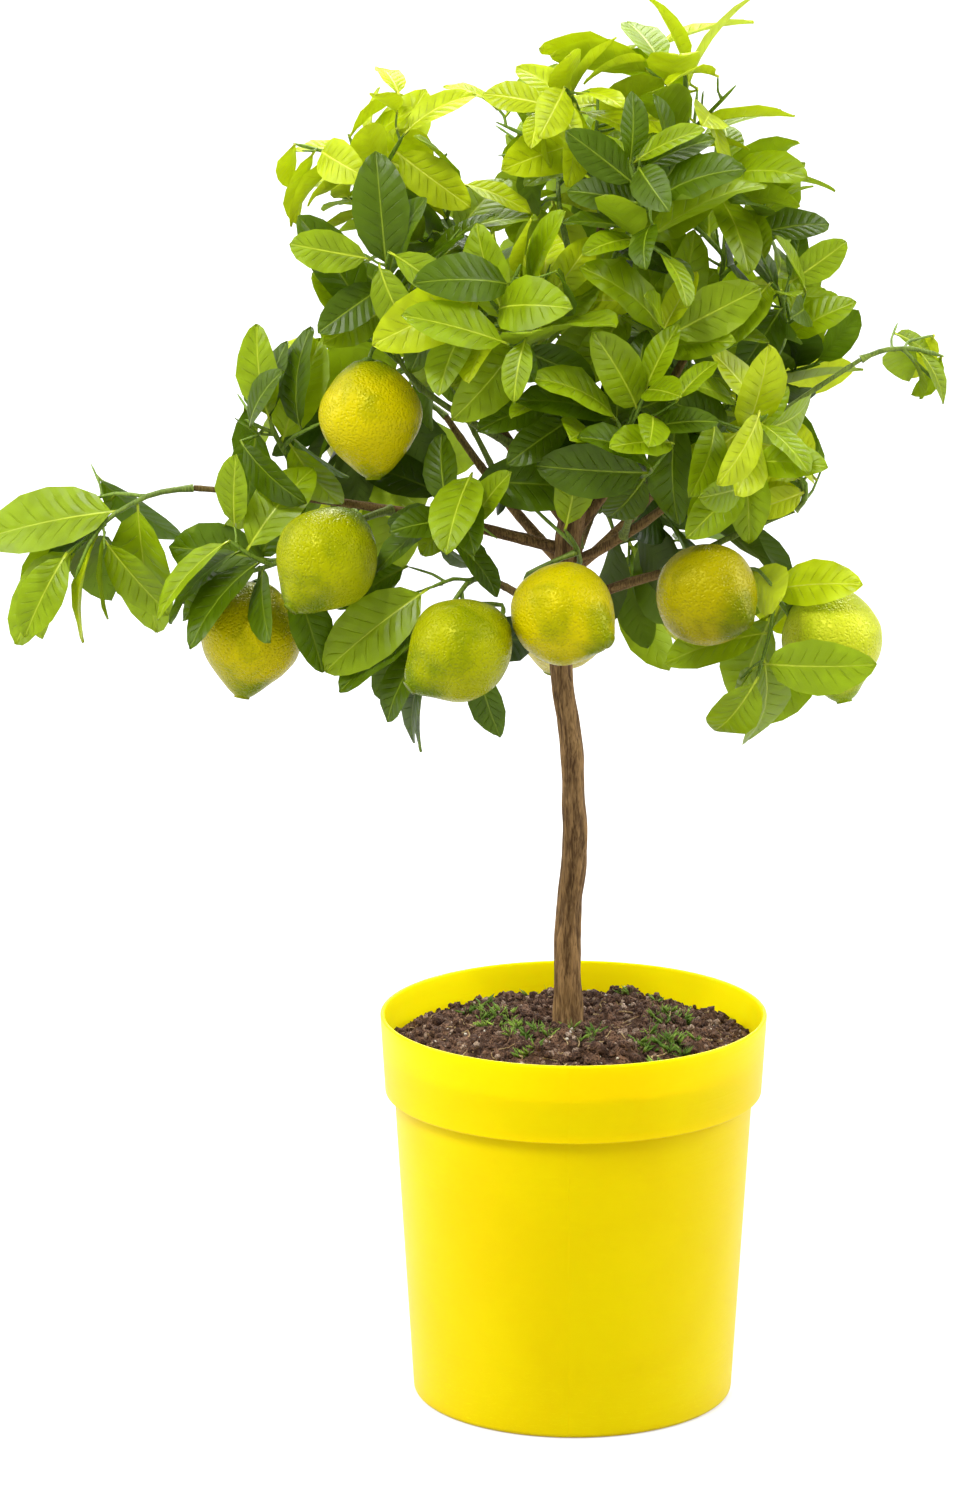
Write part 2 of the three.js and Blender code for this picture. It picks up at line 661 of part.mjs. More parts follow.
// A leaf's place: where it leaves the shoot, its heading, its upper side, its length and how far its tip
// curls down.
class Leaf {
  constructor(root, heading, upper, length, curl) {
    this.root = root;
    this.heading = heading;
    this.side = new THREE.Vector3().crossVectors(heading, upper).normalize();
    this.upper = new THREE.Vector3().crossVectors(this.side, heading).normalize();
    this.length = length;
    this.curl = curl;
  }

  // A point of the blade: along runs from the root to the tip, across from edge to edge, and lift is off
  // the surface. The midrib is an arc that bends down by curl in all, and the two halves rise from it by
  // the fold.
  point(along, across, lift = 0) {
    const turn = this.curl * along;
    const reach = (Math.sin(turn) / this.curl) * this.length;
    const drop = ((1 - Math.cos(turn)) / this.curl) * this.length;
    const normal = this.upper.clone().multiplyScalar(Math.cos(turn));
    normal.addScaledVector(this.heading, Math.sin(turn));
    return this.root
      .clone()
      .addScaledVector(this.heading, reach)
      .addScaledVector(this.upper, -drop)
      .addScaledVector(this.side, across * Math.cos(LEAF.fold))
      .addScaledVector(normal, Math.abs(across) * Math.sin(LEAF.fold) + lift);
  }

  halfWidth() {
    return this.length * LEAF.halfWidth;
  }

  // The corners of the closed solid: its root, its left edge, tip and right edge, and the keel that the
  // two halves of the underside fold about. The root is sunk past the shoot's middle.
  corners() {
    const wide = this.halfWidth();
    const [low, high] = LEAF.outline;
    return [
      this.point(0, 0).addScaledVector(this.heading, -LEAF.sunk),
      this.point(low[0], -low[1] * wide),
      this.point(high[0], -high[1] * wide),
      this.point(1, 0),
      this.point(high[0], high[1] * wide),
      this.point(low[0], low[1] * wide),
      this.point(LEAF.neck, 0, -LEAF.neckDepth),
      this.point(0.5, 0, -this.length * LEAF.thickness),
    ];
  }

  geometry() {
    return geometryFrom(this.corners(), LEAF_FACES.flat());
  }

  // The leaf for telling whether it crosses another: its faces, and its edges with a spike through it at
  // each spot.
  card(owner) {
    const corners = this.corners();
    const triangles = LEAF_FACES.map((face) => face.map((i) => corners[i]));
    const split = (i, k) => (i === 0 ? corners[i].clone().lerp(corners[k], ROOT_SPARED) : corners[i]);
    const edges = LEAF_EDGES.map(([i, k]) => [split(i, k), corners[k]]);
    const roots = LEAF_EDGES.filter(([i]) => i === 0).map(([i, k]) => [corners[i], split(i, k)]);
    const places = LEAF_SPOTS.map(([along, across]) => [along, across * this.halfWidth()]);
    for (const [along, across] of places) {
      edges.push([this.point(along, across, -2 * LEAF_SPIKE), this.point(along, across, LEAF_SPIKE)]);
    }
    const heart = this.point(0.5, 0);
    const size = Math.max(...corners.map((corner) => corner.distanceTo(heart))) + 2 * LEAF_SPIKE;
    const spots = places.map(([along, across]) => this.point(along, across));
    return { triangles, edges, roots, spots, heart, size, owner };
  }
}

// A lemon's place. Its shape is turned about the line from its stalk to its nipple.
class Lemon {
  constructor({ middle, nipple }) {
    this.middle = vector(middle);
    this.axis = vector(nipple).normalize();
    this.crown = this.middle.clone().addScaledVector(this.axis, -LEMON.length / 2);
  }

  // Radius and place along the axis, for a share that runs from the stalk to the nipple.
  static outline(share) {
    const body = LEMON.radius * Math.sin(Math.PI * share) ** LEMON.fullness;
    const atNipple = Math.exp(-(((share - 1) / LEMON.nippleSpread) ** 2));
    const radius = share === 1 ? 0 : Math.max(body, LEMON.nippleRadius * atNipple);
    return [radius, (share - 0.5) * LEMON.length + LEMON.nipple * atNipple];
  }

  geometry() {
    const outline = [];
    for (let i = 0; i <= LEMON.rings; i += 1) {
      outline.push(Lemon.outline(0.5 - 0.5 * Math.cos((Math.PI * i) / LEMON.rings)));
    }
    const turn = new THREE.Quaternion().setFromUnitVectors(UP, this.axis);
    return turnedGeometry(outline, LEMON.sides)
      .applyQuaternion(turn)
      .translate(...this.middle.toArray());
  }

  // Whether a point is in the lemon, or within a margin of it.
  holds(point, margin) {
    const from = point.clone().sub(this.middle);
    const along = from.dot(this.axis);
    const off = Math.sqrt(Math.max(from.lengthSq() - along * along, 0));
    const half = LEMON.length / 2 + LEMON.nipple + margin;
    return (along / half) ** 2 + (off / (LEMON.radius + margin)) ** 2 < 1;
  }
}

// Whether a point lies in a gap that shows as sky: it is carried along its line to the eye onto the plane
// y = 0, and compared with each oval there.
function inSkyGap(point) {
  const passing = EYE.clone().lerp(point, EYE.y / (EYE.y - point.y));
  return SKY_GAPS.some(({ middle, half }) => {
    return Math.hypot((passing.x - middle[0]) / half[0], (passing.z - middle[1]) / half[1]) < 1;
  });
}

// Whether the segment from a to b passes through a triangle.
function crosses(a, b, [p, q, r]) {
  const along = b.clone().sub(a);
  const [edgeOne, edgeTwo] = [q.clone().sub(p), r.clone().sub(p)];
  const across = new THREE.Vector3().crossVectors(along, edgeTwo);
  const scale = edgeOne.dot(across);
  if (Math.abs(scale) < 1e-9) return false;
  const offset = a.clone().sub(p);
  const first = offset.dot(across) / scale;
  if (first < 0 || first > 1) return false;
  const turned = new THREE.Vector3().crossVectors(offset, edgeOne);
  const second = along.dot(turned) / scale;
  if (second < 0 || first + second > 1) return false;
  const share = edgeTwo.dot(turned) / scale;
  return share >= 0 && share <= 1;
}

// A card's edges as felt by an owner: with the root's, unless the card is its own.
function feltEdges(card, owner) {
  return card.owner === owner ? card.edges : [...card.edges, ...card.roots];
}

// Whether two cards cross.
function cardsCross(one, other) {
  if (one.heart.distanceTo(other.heart) > one.size + other.size) return false;
  const hits = (edges, { triangles }) =>
    edges.some(([a, b]) => triangles.some((triangle) => crosses(a, b, triangle)));
  return hits(feltEdges(one, other.owner), other) || hits(feltEdges(other, one.owner), one);
}

// The distance from a point to a segment.
function segmentDistance(point, a, b) {
  const along = b.clone().sub(a);
  const share = THREE.MathUtils.clamp(point.clone().sub(a).dot(along) / along.lengthSq(), 0, 1);
  return point.distanceTo(a.clone().addScaledVector(along, share));
}

// A rod stands for a limb or twig: short straight stretches with a radius each.
function rodFrom(curve, radiusAt, steps, owner) {
  const stretches = [];
  for (let i = 0; i < steps; i += 1) {
    const [a, b] = [curve.getPoint(i / steps), curve.getPoint((i + 1) / steps)];
    stretches.push({ a, b, radius: radiusAt(i / steps) });
  }
  return { stretches, owner };
}

// The distance between two segments.
function segmentsDistance(a, b, c, d) {
  const [along, other, apart] = [b.clone().sub(a), d.clone().sub(c), a.clone().sub(c)];
  const [aa, ao, oo, ap, op] = [
    along.lengthSq(),
    along.dot(other),
    other.lengthSq(),
    along.dot(apart),
    other.dot(apart),
  ];
  const flat = aa * oo - ao * ao;
  const first = flat > 1e-9 ? THREE.MathUtils.clamp((ao * op - oo * ap) / flat, 0, 1) : 0;
  const near = a.clone().addScaledVector(along, first);
  const share = THREE.MathUtils.clamp(near.clone().sub(c).dot(other) / oo, 0, 1);
  return segmentDistance(c.clone().addScaledVector(other, share), a, b);
}

// Whether a card comes within a margin of a rod.
function cardMeetsRod(card, rod, margin) {
  const edges = feltEdges(card, rod.owner);
  return rod.stretches.some(({ a, b, radius }) => {
    const near = radius + margin;
    if (segmentDistance(card.heart, a, b) > card.size + near) return false;
    return (
      card.triangles.some((triangle) => crosses(a, b, triangle)) ||
      card.spots.some((spot) => segmentDistance(spot, a, b) < near) ||
      edges.some(([from, to]) => segmentsDistance(a, b, from, to) < near)
    );
  });
}

// Whether two rods come within a margin of each other.
function rodMeetsRod(rod, other, margin) {
  return rod.stretches.some(({ a, b, radius }) =>
    other.stretches.some((stretch) => {
      return segmentsDistance(a, b, stretch.a, stretch.b) < radius + stretch.radius + margin;
    }),
  );
}

// One mass of foliage as it grows: its stem, then its lemons and twigs, then its leaves.
class Mass {
  constructor(name, plan, limb) {
    Object.assign(this, plan, { name });
    this.middle = vector(plan.middle);
    this.reach = vector(plan.reach);
    this.draw = new SeededDraw(plan.seed);
    this.outward = this.middle.clone().sub(CROWN_HEART).addScaledVector(UP, STEM.lift).normalize();
    this.lemons = (plan.lemons ?? []).map((lemon) => new Lemon(lemon));
    this.shoots = [];
    this.leaves = [];
    this.solids = [];
    this.growStem(limb);
  }

  // A share of the way out to the edge of the mass's space, under 1 inside it.
  depth(point) {
    return point.clone().sub(this.middle).divide(this.reach).length();
  }

  addShoot(curve, foot, tip, steps, leafy) {
    const radiusAt = (along) => THREE.MathUtils.lerp(foot, tip, along);
    this.shoots.push({ curve, leafy, steps, rod: rodFrom(curve, radiusAt, steps, this.name) });
    this.solids.push(solidFrom(limbGeometry(curve, radiusAt, TWIG.sides, steps)));
  }

  // The stem carries on from the limb's tip, past the middle of the space.
  growStem({ curve }) {
    const heading = curve.getTangent(1);
    const start = curve.getPoint(1).addScaledVector(heading, CLEARANCE);
    const past = this.outward.clone().multiply(this.reach).multiplyScalar(STEM.pastMiddle);
    const end = this.middle.clone().add(past);
    const bend = start.clone().addScaledVector(heading, STEM.bend * start.distanceTo(end));
    this.stem = new THREE.QuadraticBezierCurve3(start, bend, end);
    this.addShoot(this.stem, STEM.radius, TWIG.radius, STEM.steps, STEM.leafyFrom);
  }

  // A lemon hangs by a stalk from the nearest part of the stem.
  hangLemons() {
    for (const lemon of this.lemons) {
      const places = LEMON.stalkPlaces.map((along) => onStretches(this.stem, STEM.steps, along));
      const root = places.sort((a, b) => a.distanceTo(lemon.crown) - b.distanceTo(lemon.crown))[0];
      const sunk = lemon.crown.clone().addScaledVector(lemon.axis, LEMON.stalkSunk);
      const length = root.distanceTo(lemon.crown);
      const bend = lemon.crown.clone().addScaledVector(lemon.axis, -LEMON.stalkBend * length);
      const curve = new THREE.QuadraticBezierCurve3(root, bend, sunk);
      this.addShoot(curve, LEMON.stalkRadius, LEMON.stalkRadius, TWIG.steps, 1);
      this.solids.push(solidFrom(lemon.geometry()));
    }
  }

  // Twigs leave the stem in turn, a golden angle apart, the first ones wide and the last ones forward.
  growTwigs(isFree) {
    const chord = this.stem.getPoint(1).sub(this.stem.getPoint(0));
    const phase = this.draw.between(0, 2 * Math.PI);
    for (let i = 0; i < this.twigs; i += 1) {
      const share = (i + 0.5) / this.twigs;
      const along = THREE.MathUtils.lerp(TWIG.from, TWIG.to, share);
      const root = onStretches(this.stem, STEM.steps, along);
      const tangent = this.stem.getTangent(along);
      const { side, rise } = acrossPath(tangent, chord);
      const angle = phase + i * GOLDEN_ANGLE + this.draw.between(-TWIG.turn, TWIG.turn);
      const radial = side.multiplyScalar(Math.cos(angle)).addScaledVector(rise, Math.sin(angle));
      const lean = radians(THREE.MathUtils.lerp(TWIG.leanAtFoot, TWIG.leanAtTip, share));
      const heading = radial.clone().multiplyScalar(Math.sin(lean));
      heading.addScaledVector(tangent, Math.cos(lean));
      const fill = this.draw.between(...TWIG.fill);
      const tip = this.middle.clone().add(heading.multiply(this.reach).multiplyScalar(fill));
      const length = root.distanceTo(tip);
      const bow = TWIG.bend * length;
      const bend = root.clone().addScaledVector(tangent, bow).addScaledVector(radial, bow);
      const curve = new THREE.QuadraticBezierCurve3(root, bend, tip);
      const rod = rodFrom(curve, () => TWIG.radius, TWIG.steps, this.name);
      if (length > TWIG.shortest && isFree.rod(rod, this)) {
        this.addShoot(curve, TWIG.radius, TWIG.tipRadius, TWIG.steps, TWIG.leafyFrom);
      }
    }
  }

  // Leaves stand along the outer part of each shoot, a golden angle apart, and turn their upper side to
  // the light.
  growLeaves(isFree) {
    for (const shoot of this.shoots) {
      if (shoot.leafy >= 1) continue;
      const length = shoot.curve.getLength() * (1 - shoot.leafy);
      const count = Math.max(2, Math.round(length / LEAF.spacing)) + 1;
      const phase = this.draw.between(0, 2 * Math.PI);
      for (let i = 0; i < count; i += 1) {
        const share = i / (count - 1);
        const along = THREE.MathUtils.lerp(shoot.leafy, LEAF.last, share);
        for (let attempt = 0; attempt < LEAF.tries; attempt += 1) {
          const leaf = this.leafOn(shoot, along, share, phase + i * GOLDEN_ANGLE, attempt);
          const card = leaf.card(this.name);
          const spots = [...card.spots, leaf.point(1, 0)];
          if (spots.some((spot) => this.depth(spot) >= 1 || inSkyGap(spot))) continue;
          if (!isFree.card(card, shoot)) continue;
          this.leaves.push({ leaf, card });
          this.solids.push(solidFrom(leaf.geometry()));
          break;
        }
      }
    }
  }

  leafOn({ curve, steps }, along, share, angle, attempt) {
    const looser = 1 + (4 * attempt) / LEAF.tries;
    const jitter = () => radians(this.draw.between(-LEAF.jitter, LEAF.jitter)) * looser;
    const root = onStretches(curve, steps, along);
    const tangent = curve.getTangent(along);
    const { side, rise } = acrossPath(tangent, curve.getPoint(1).sub(curve.getPoint(0)));
    const turn = angle + 2 * jitter();
    const radial = side.multiplyScalar(Math.cos(turn)).addScaledVector(rise, Math.sin(turn));
    const spread = radians(THREE.MathUtils.lerp(LEAF.spreadAtFoot, LEAF.spreadAtTip, share)) + jitter();
    const heading = tangent.clone().multiplyScalar(Math.cos(spread));
    heading.addScaledVector(radial, Math.sin(spread));
    heading.addScaledVector(UP, -this.hang * this.draw.between(...LEAF.droop)).normalize();
    const outside = root.clone().sub(CROWN_HEART).multiply(FACING).normalize();
    const light = UP.clone()
      .multiplyScalar(this.draw.between(...LEAF.lightAbove))
      .addScaledVector(outside, this.draw.between(...LEAF.lightOutside));
    const across = new THREE.Vector3().crossVectors(heading, light).normalize();
    const upper = new THREE.Vector3().crossVectors(across, heading);
    upper.applyAxisAngle(heading, radians(this.draw.between(-LEAF.roll, LEAF.roll)));
    const length = LEAF.length * this.leaf * this.draw.between(...LEAF.lengths) * LEAF.shrink ** attempt;
    return new Leaf(root, heading, upper, length, this.draw.between(...LEAF.curl));
  }

  solid() {
    const fused = this.solids.reduce((whole, piece) => whole.add(piece));
    return fused.decompose().sort((a, b) => b.volume() - a.volume())[0];
  }
}

// Grows every mass: all lemons and twigs first, so that the leaves of each keep clear of the twigs of
// all.
function growFoliage(limbs) {
  const limbRods = Object.entries(limbs).map(([name, limb]) =>
    rodFrom(limb.curve, limb.radiusAt, limb.steps, name),
  );
  const masses = Object.entries(FOLIAGE).map(([name, plan]) => new Mass(name, plan, limbs[plan.limb]));
  const allShoots = () => masses.flatMap((mass) => mass.shoots);
  const lemons = masses.flatMap((mass) => mass.lemons);
  const inLemon = (points) =>
    lemons.some((lemon) => points.some((point) => lemon.holds(point, ROOM.lemon)));
  const isFree = {
    rod: (rod, mine) => {
      const others = allShoots().map((shoot) => shoot.rod);
      const met = [...limbRods, ...others.filter((other) => other.owner !== mine.name)];
      const points = rod.stretches.flatMap(({ a, b }) => [a, b]);
      return !met.some((other) => rodMeetsRod(rod, other, ROOM.limb)) && !inLemon(points);
    },
    card: (card, shoot) => {
      if (inLemon(card.spots) || limbRods.some((rod) => cardMeetsRod(card, rod, ROOM.limb))) return false;
      const others = allShoots().filter((other) => other !== shoot);
      if (others.some((other) => cardMeetsRod(card, other.rod, ROOM.limb))) return false;
      return !masses.some((mass) => mass.leaves.some((other) => cardsCross(card, other.card)));
    },
  };
  for (const mass of masses) mass.hangLemons();
  for (const mass of masses) mass.growTwigs(isFree);
  for (const mass of masses) mass.growLeaves(isFree);
  return masses;
}

const tree = new THREE.Group();
tree.add(meshFrom("pot", potSolid(), MATERIALS.pot));
tree.add(meshFrom("soil", soilSolid(), MATERIALS.soil));
tree.add(meshFrom("trunk", trunkSolid(), MATERIALS.bark));

const limbs = growLimbs();
for (const [name, plan] of Object.entries(LIMBS)) {
  const cut = limbSolid(limbs[name]).subtract(limbSolid(limbs[plan.from], CLEARANCE));
  const largest = cut.decompose().sort((a, b) => b.volume() - a.volume())[0];
  const material = plan.from === "trunk" ? MATERIALS.bark : MATERIALS.greenwood;
  tree.add(meshFrom(name, largest, material));
}
for (const mass of growFoliage(limbs)) tree.add(meshFrom(mass.name, mass.solid(), MATERIALS.foliage));

export default tree;
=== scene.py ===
"""A four seasons lemon tree in a round plastic pot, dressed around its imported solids.

Metres, +Z up. The origin is the centre of the pot's flat underside, and -Y is the side the tree is seen
from. The pot, the soil, the trunk and the boughs are fine meshes of the solids' own forms. Each mass of
foliage grows again by the seeded rule of the solids, and is then carried on to finer sprigs and leaves.
"""
import logging
import math
from collections.abc import Callable
from dataclasses import dataclass, field
from enum import Enum

import bpy
import numpy as np
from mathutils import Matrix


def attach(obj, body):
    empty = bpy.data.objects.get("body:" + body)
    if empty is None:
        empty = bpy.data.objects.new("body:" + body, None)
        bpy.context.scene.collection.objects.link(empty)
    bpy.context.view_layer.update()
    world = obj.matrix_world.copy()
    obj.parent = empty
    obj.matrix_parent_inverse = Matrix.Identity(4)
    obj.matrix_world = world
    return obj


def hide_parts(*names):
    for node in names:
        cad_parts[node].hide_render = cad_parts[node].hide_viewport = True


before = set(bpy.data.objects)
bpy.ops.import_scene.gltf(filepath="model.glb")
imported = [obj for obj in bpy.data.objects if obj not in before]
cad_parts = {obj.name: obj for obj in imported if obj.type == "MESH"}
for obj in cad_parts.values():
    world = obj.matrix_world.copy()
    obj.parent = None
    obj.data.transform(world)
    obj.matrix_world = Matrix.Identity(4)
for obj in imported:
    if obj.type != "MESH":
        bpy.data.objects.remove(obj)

log = logging.getLogger("lemon_tree")
Array = np.ndarray
Place = tuple[float, float, float]
Colour = tuple[float, float, float, float]
Span = tuple[float, float]

UP = np.array([0.0, 0.0, 1.0])
FULL_TURN = 2.0 * math.pi
GOLDEN_ANGLE = math.radians(137.508)
CLEARANCE = 0.0003
# No length worth telling apart, and a nudge that keeps a corner off the origin
NO_LENGTH = 1e-6
NUDGE = 1e-9
# Products under these say that an edge runs along a face's plane, and that two segments are parallel
IN_PLANE = 1e-18
PARALLEL = 1e-21
CROWN_HEART = np.array([0.0, 0.010, 0.630])
# Leaves turn their faces out of the crown, and more to its front and back than to its sides and top
FACING = np.array([0.35, 1.0, 0.45])
# The eye in front of the tree, and the gaps that it sees as sky: oval ways through the crown towards it, by
# their middles and half sizes along X and Z on the plane y = 0
EYE = np.array([-0.055, -4.0, 1.4])
GAP_MIDDLES = np.array([
    [-0.013, 0.566], [-0.095, 0.538], [-0.054, 0.621], [-0.062, 0.822], [-0.169, 0.840],
    [0.085, 0.752], [0.175, 0.649], [0.150, 0.573], [-0.229, 0.660], [0.101, 0.860],
])
GAP_HALVES = np.array([
    [0.046, 0.021], [0.019, 0.013], [0.010, 0.012], [0.017, 0.026], [0.032, 0.018],
    [0.009, 0.010], [0.025, 0.017], [0.019, 0.007], [0.015, 0.047], [0.023, 0.012],
])
# A smooth random height: how many waves it has, how their lengths stray, and what their sum is divided by
WAVES = 12
WAVE_STRAY = (0.6, 1.5)
WAVE_SUM = 4.5
WORD = 0xFFFFFFFF
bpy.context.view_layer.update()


def unit(vectors: Array) -> Array:
    """Each vector divided by its own length."""
    return vectors / np.linalg.norm(vectors, axis=-1, keepdims=True)


def lerp(low: float | Array, high: float | Array, share: float | Array) -> float | Array:
    """The value at a share of the way from low to high."""
    return low + (high - low) * share


def smooth_step(value: float | Array, low: float, high: float) -> float | Array:
    """0 below low and 1 above high, with 3t^2 - 2t^3 between."""
    share = np.clip((value - low) / (high - low), 0.0, 1.0)
    return share * share * (3.0 - 2.0 * share)


def ring_angles(count: int) -> Array:
    """Equal turns about an axis, as many as there are places in a ring."""
    return np.arange(count) * FULL_TURN / count


def swung(start: Array, towards: Array, angle: float) -> Array:
    """The way that stands at an angle from one unit vector towards another that is square to it."""
    return start * math.cos(angle) + towards * math.sin(angle)


def pointing(way: Array, rise: Array) -> Array:
    """Unit vectors that point each its own way round the Z axis and rise by a slope."""
    return unit(np.column_stack([np.cos(way), np.sin(way), rise]))


class SeededDraw:
    """A stream of numbers from 0 to 1, the same each run: a counter with its 32 bits well mixed."""

    def __init__(self, seed: int) -> None:
        """Starts the stream at a seed."""
        self.state = seed & WORD

    def next(self) -> float:
        """The next number from 0 to 1.

        Returns:
            The number.
        """
        self.state = (self.state + 0x6D2B79F5) & WORD
        mixed = self.state
        mixed = ((mixed ^ (mixed >> 15)) * (mixed | 1)) & WORD
        mixed ^= (mixed + (((mixed ^ (mixed >> 7)) * (mixed | 61)) & WORD)) & WORD
        return (mixed ^ (mixed >> 14)) / (WORD + 1.0)

    def between(self, low: float, high: float) -> float:
        """The next number, from low to high."""
        return low + (high - low) * self.next()


def wavy(points: Array, size: float, seed: int) -> Array:
    """A smooth random height, nearly all of it from -1 to 1: sine waves in random directions, added up.

    Args:
        points: Places to read it at, (..., 3).
        size: The distance over which it changes.
        seed: Which of many such patterns.

    Returns:
        The height at each place.
    """
    random = np.random.default_rng(seed)
    ways = unit(random.normal(size=(WAVES, 3))) * random.uniform(*WAVE_STRAY, (WAVES, 1)) * FULL_TURN / size
    phases = random.uniform(0.0, FULL_TURN, WAVES)
    return np.sin(points @ ways.T + phases).sum(-1) / WAVE_SUM


# Curves


@dataclass
class MiddleLine:
    """The middle line of a limb, twig or stalk, read by a share of the way along it."""

    def at(self, along: float | Array) -> Array:
        """The place at a share of the way along."""
        raise NotImplementedError

    def heading(self, along: float | Array) -> Array:
        """The unit direction at a share of the way along, from two places just before and after it."""
        near = 1e-4
        return unit(self.at(np.minimum(along + near, 1.0)) - self.at(np.maximum(along - near, 0.0)))

    def chord(self) -> Array:
        """The straight line from its start to its end."""
        return self.at(1.0) - self.at(0.0)

    def length(self) -> float:
        """The length of two hundred straight steps along it."""
        return float(np.linalg.norm(np.diff(self.at(np.linspace(0.0, 1.0, 201)), axis=0), axis=1).sum())

    def on_stretches(self, steps: int, along: float) -> Array:
        """The place on the straight stretches that a solid of some steps has in its middle."""
        step = min(int(along * steps), steps - 1)
        return lerp(self.at(step / steps), self.at((step + 1) / steps), along * steps - step)


@dataclass
class Bow(MiddleLine):
    """A line that bows once: (1 - t)^2 start + 2t(1 - t) bend + t^2 end."""

    start: Array
    bend: Array
    end: Array

    def at(self, along: float | Array) -> Array:
        """The place at a share of the way along."""
        t = np.asarray(along, float)[..., None]
        return (1 - t) ** 2 * self.start + 2 * t * (1 - t) * self.bend + t**2 * self.end


@dataclass
class Wander(MiddleLine):
    """A line through a row of places, smooth at each: a cubic whose slopes are half its neighbours' gap."""

    places: Array

    def at(self, along: float | Array) -> Array:
        """The place at a share of the way along.

        Args:
            along: The share of the way, or many shares at once.

        Returns:
            The place, or one row for each share.
        """
        row = np.vstack([2 * self.places[0] - self.places[1], self.places])
        row = np.vstack([row, 2 * self.places[-1] - self.places[-2]])
        reach = np.asarray(along, float) * (len(self.places) - 1)
        step = np.minimum(reach.astype(int), len(self.places) - 2)
        t = (reach - step)[..., None]
        before, low, high, after = (row[step + i] for i in range(4))
        out, into = 0.5 * (high - before), 0.5 * (after - low)
        square, cube = 3 * (high - low) - 2 * out - into, 2 * (low - high) + out + into
        return low + out * t + square * t**2 + cube * t**3


def across(tangent: Array, chord: Array) -> tuple[Array, Array]:
    """The unit vectors across a path, or across many at once: side and rise.

    Both are steady along the path, because they lean on the world axis that its chord runs along least.

    Args:
        tangent: The way along the path, one row for each place.
        chord: From its foot to its tip.

    Returns:
        The side and the rise, shaped as the tangent is.
    """
    steady = np.eye(3)[np.argmin(np.abs(chord), axis=-1)]
    side = unit(np.cross(tangent, steady))
    return side, unit(np.cross(side, tangent))


# Sizes


@dataclass(frozen=True)
class LimbPlan:
    """One limb: what it leaves and how far along, its tip, its arch as a share of its length, its radii."""

    name: str
    leaves: str
    where: float
    tip: Place
    arch: float
    radii: Span


@dataclass(frozen=True)
class LemonPlan:
    """One lemon: the middle of it and the way that its nipple points."""

    middle: Place
    nipple: Place
    ripeness: "Ripeness"


@dataclass(frozen=True)
class MassPlan:
    """One mass of foliage: its limb, its space, its twigs, its leaves' size and hang, and its light.

    The light is the tone of its leaves, from 0 for the oldest and darkest to 1 for young lime green. It is
    partly the leaves' age and partly painted light: masses on the crown's top and outside are given lighter
    tones, and those within it darker ones, as painted shade.
    """

    name: str
    limb: str
    middle: Place
    reach: Place
    twigs: int
    leaf: float
    hang: float
    seed: int
    light: float
    lemons: tuple[LemonPlan, ...] = ()


class Ripeness(Enum):
    """How ripe a lemon is."""

    GREEN = "green"
    OLIVE = "olive"
    PALE = "pale"
    YELLOW = "yellow"


class Tone(Enum):
    """The tone of a spray's leaves, from the young ones at the tips to the old ones within. The tones are
    partly painted light: the lighter ones also stand for light on the crown, the darker ones for shade within
    it.
    """

    LIME = "lime"
    FRESH = "fresh"
    FULL = "full"
    DEEP = "deep"


@dataclass(frozen=True)
class TrunkSizes:
    """The trunk, from the soil to its cut head."""

    foot: float = 0.2463
    top: float = 0.594
    flare_radius: float = 0.0105
    flare_height: float = 0.016
    low_radius: float = 0.0090
    waist_radius: float = 0.0070
    waist_share: float = 0.65
    head_radius: float = 0.0084
    wander_x: tuple[float, ...] = (
        -0.0026, -0.0042, -0.0030, 0.0003, -0.0004, -0.0026, -0.0086, -0.0082, -0.0055, 0.0010,
    )
    wander_y: tuple[float, ...] = (
        0.0, 0.0015, 0.0025, 0.0010, -0.0015, -0.0020, 0.0005, 0.0020, 0.0010, 0.0,
    )
    cut_slant: float = math.radians(22.0)
    cut_drop: float = 0.004
    steps: int = 18

    def line(self) -> Wander:
        """The trunk's middle line: its wander at equal steps from the foot to the top."""
        heights = np.linspace(self.foot, self.top, len(self.wander_x))
        return Wander(np.column_stack([self.wander_x, self.wander_y, heights]))

    def radius(self, along: float | Array) -> float | Array:
        """The radius: flared at the soil, thinnest at mid height and swollen again at the head.

        Args:
            along: The share of the way from the foot to the top.

        Returns:
            The radius there.
        """
        flare = np.exp(-along * (self.top - self.foot) / self.flare_height)
        below = lerp(self.low_radius, self.waist_radius, np.minimum(along / self.waist_share, 1.0))
        swell = (self.head_radius - self.waist_radius) * smooth_step(along, self.waist_share, 1.0)
        return below + swell + (self.flare_radius - self.low_radius) * flare


@dataclass(frozen=True)
class ShootSizes:
    """The stems and twigs of the foliage."""

    limb_bend: float = 0.45
    limb_steps: int = 4
    stem_radius: float = 0.002
    stem_bend: float = 0.45
    past_middle: float = 0.22
    stem_leafy_from: float = 0.45
    lift: float = 0.030
    stem_steps: int = 3
    radius: float = 0.0014
    tip_radius: float = 0.0011
    steps: int = 2
    twigs_from: float = 0.2
    twigs_to: float = 0.9
    lean_at_foot: float = math.radians(100.0)
    lean_at_tip: float = math.radians(48.0)
    turn: float = 0.3
    fill: Span = (0.36, 0.6)
    bend: float = 0.3
    leafy_from: float = 0.25
    shortest: float = 0.018


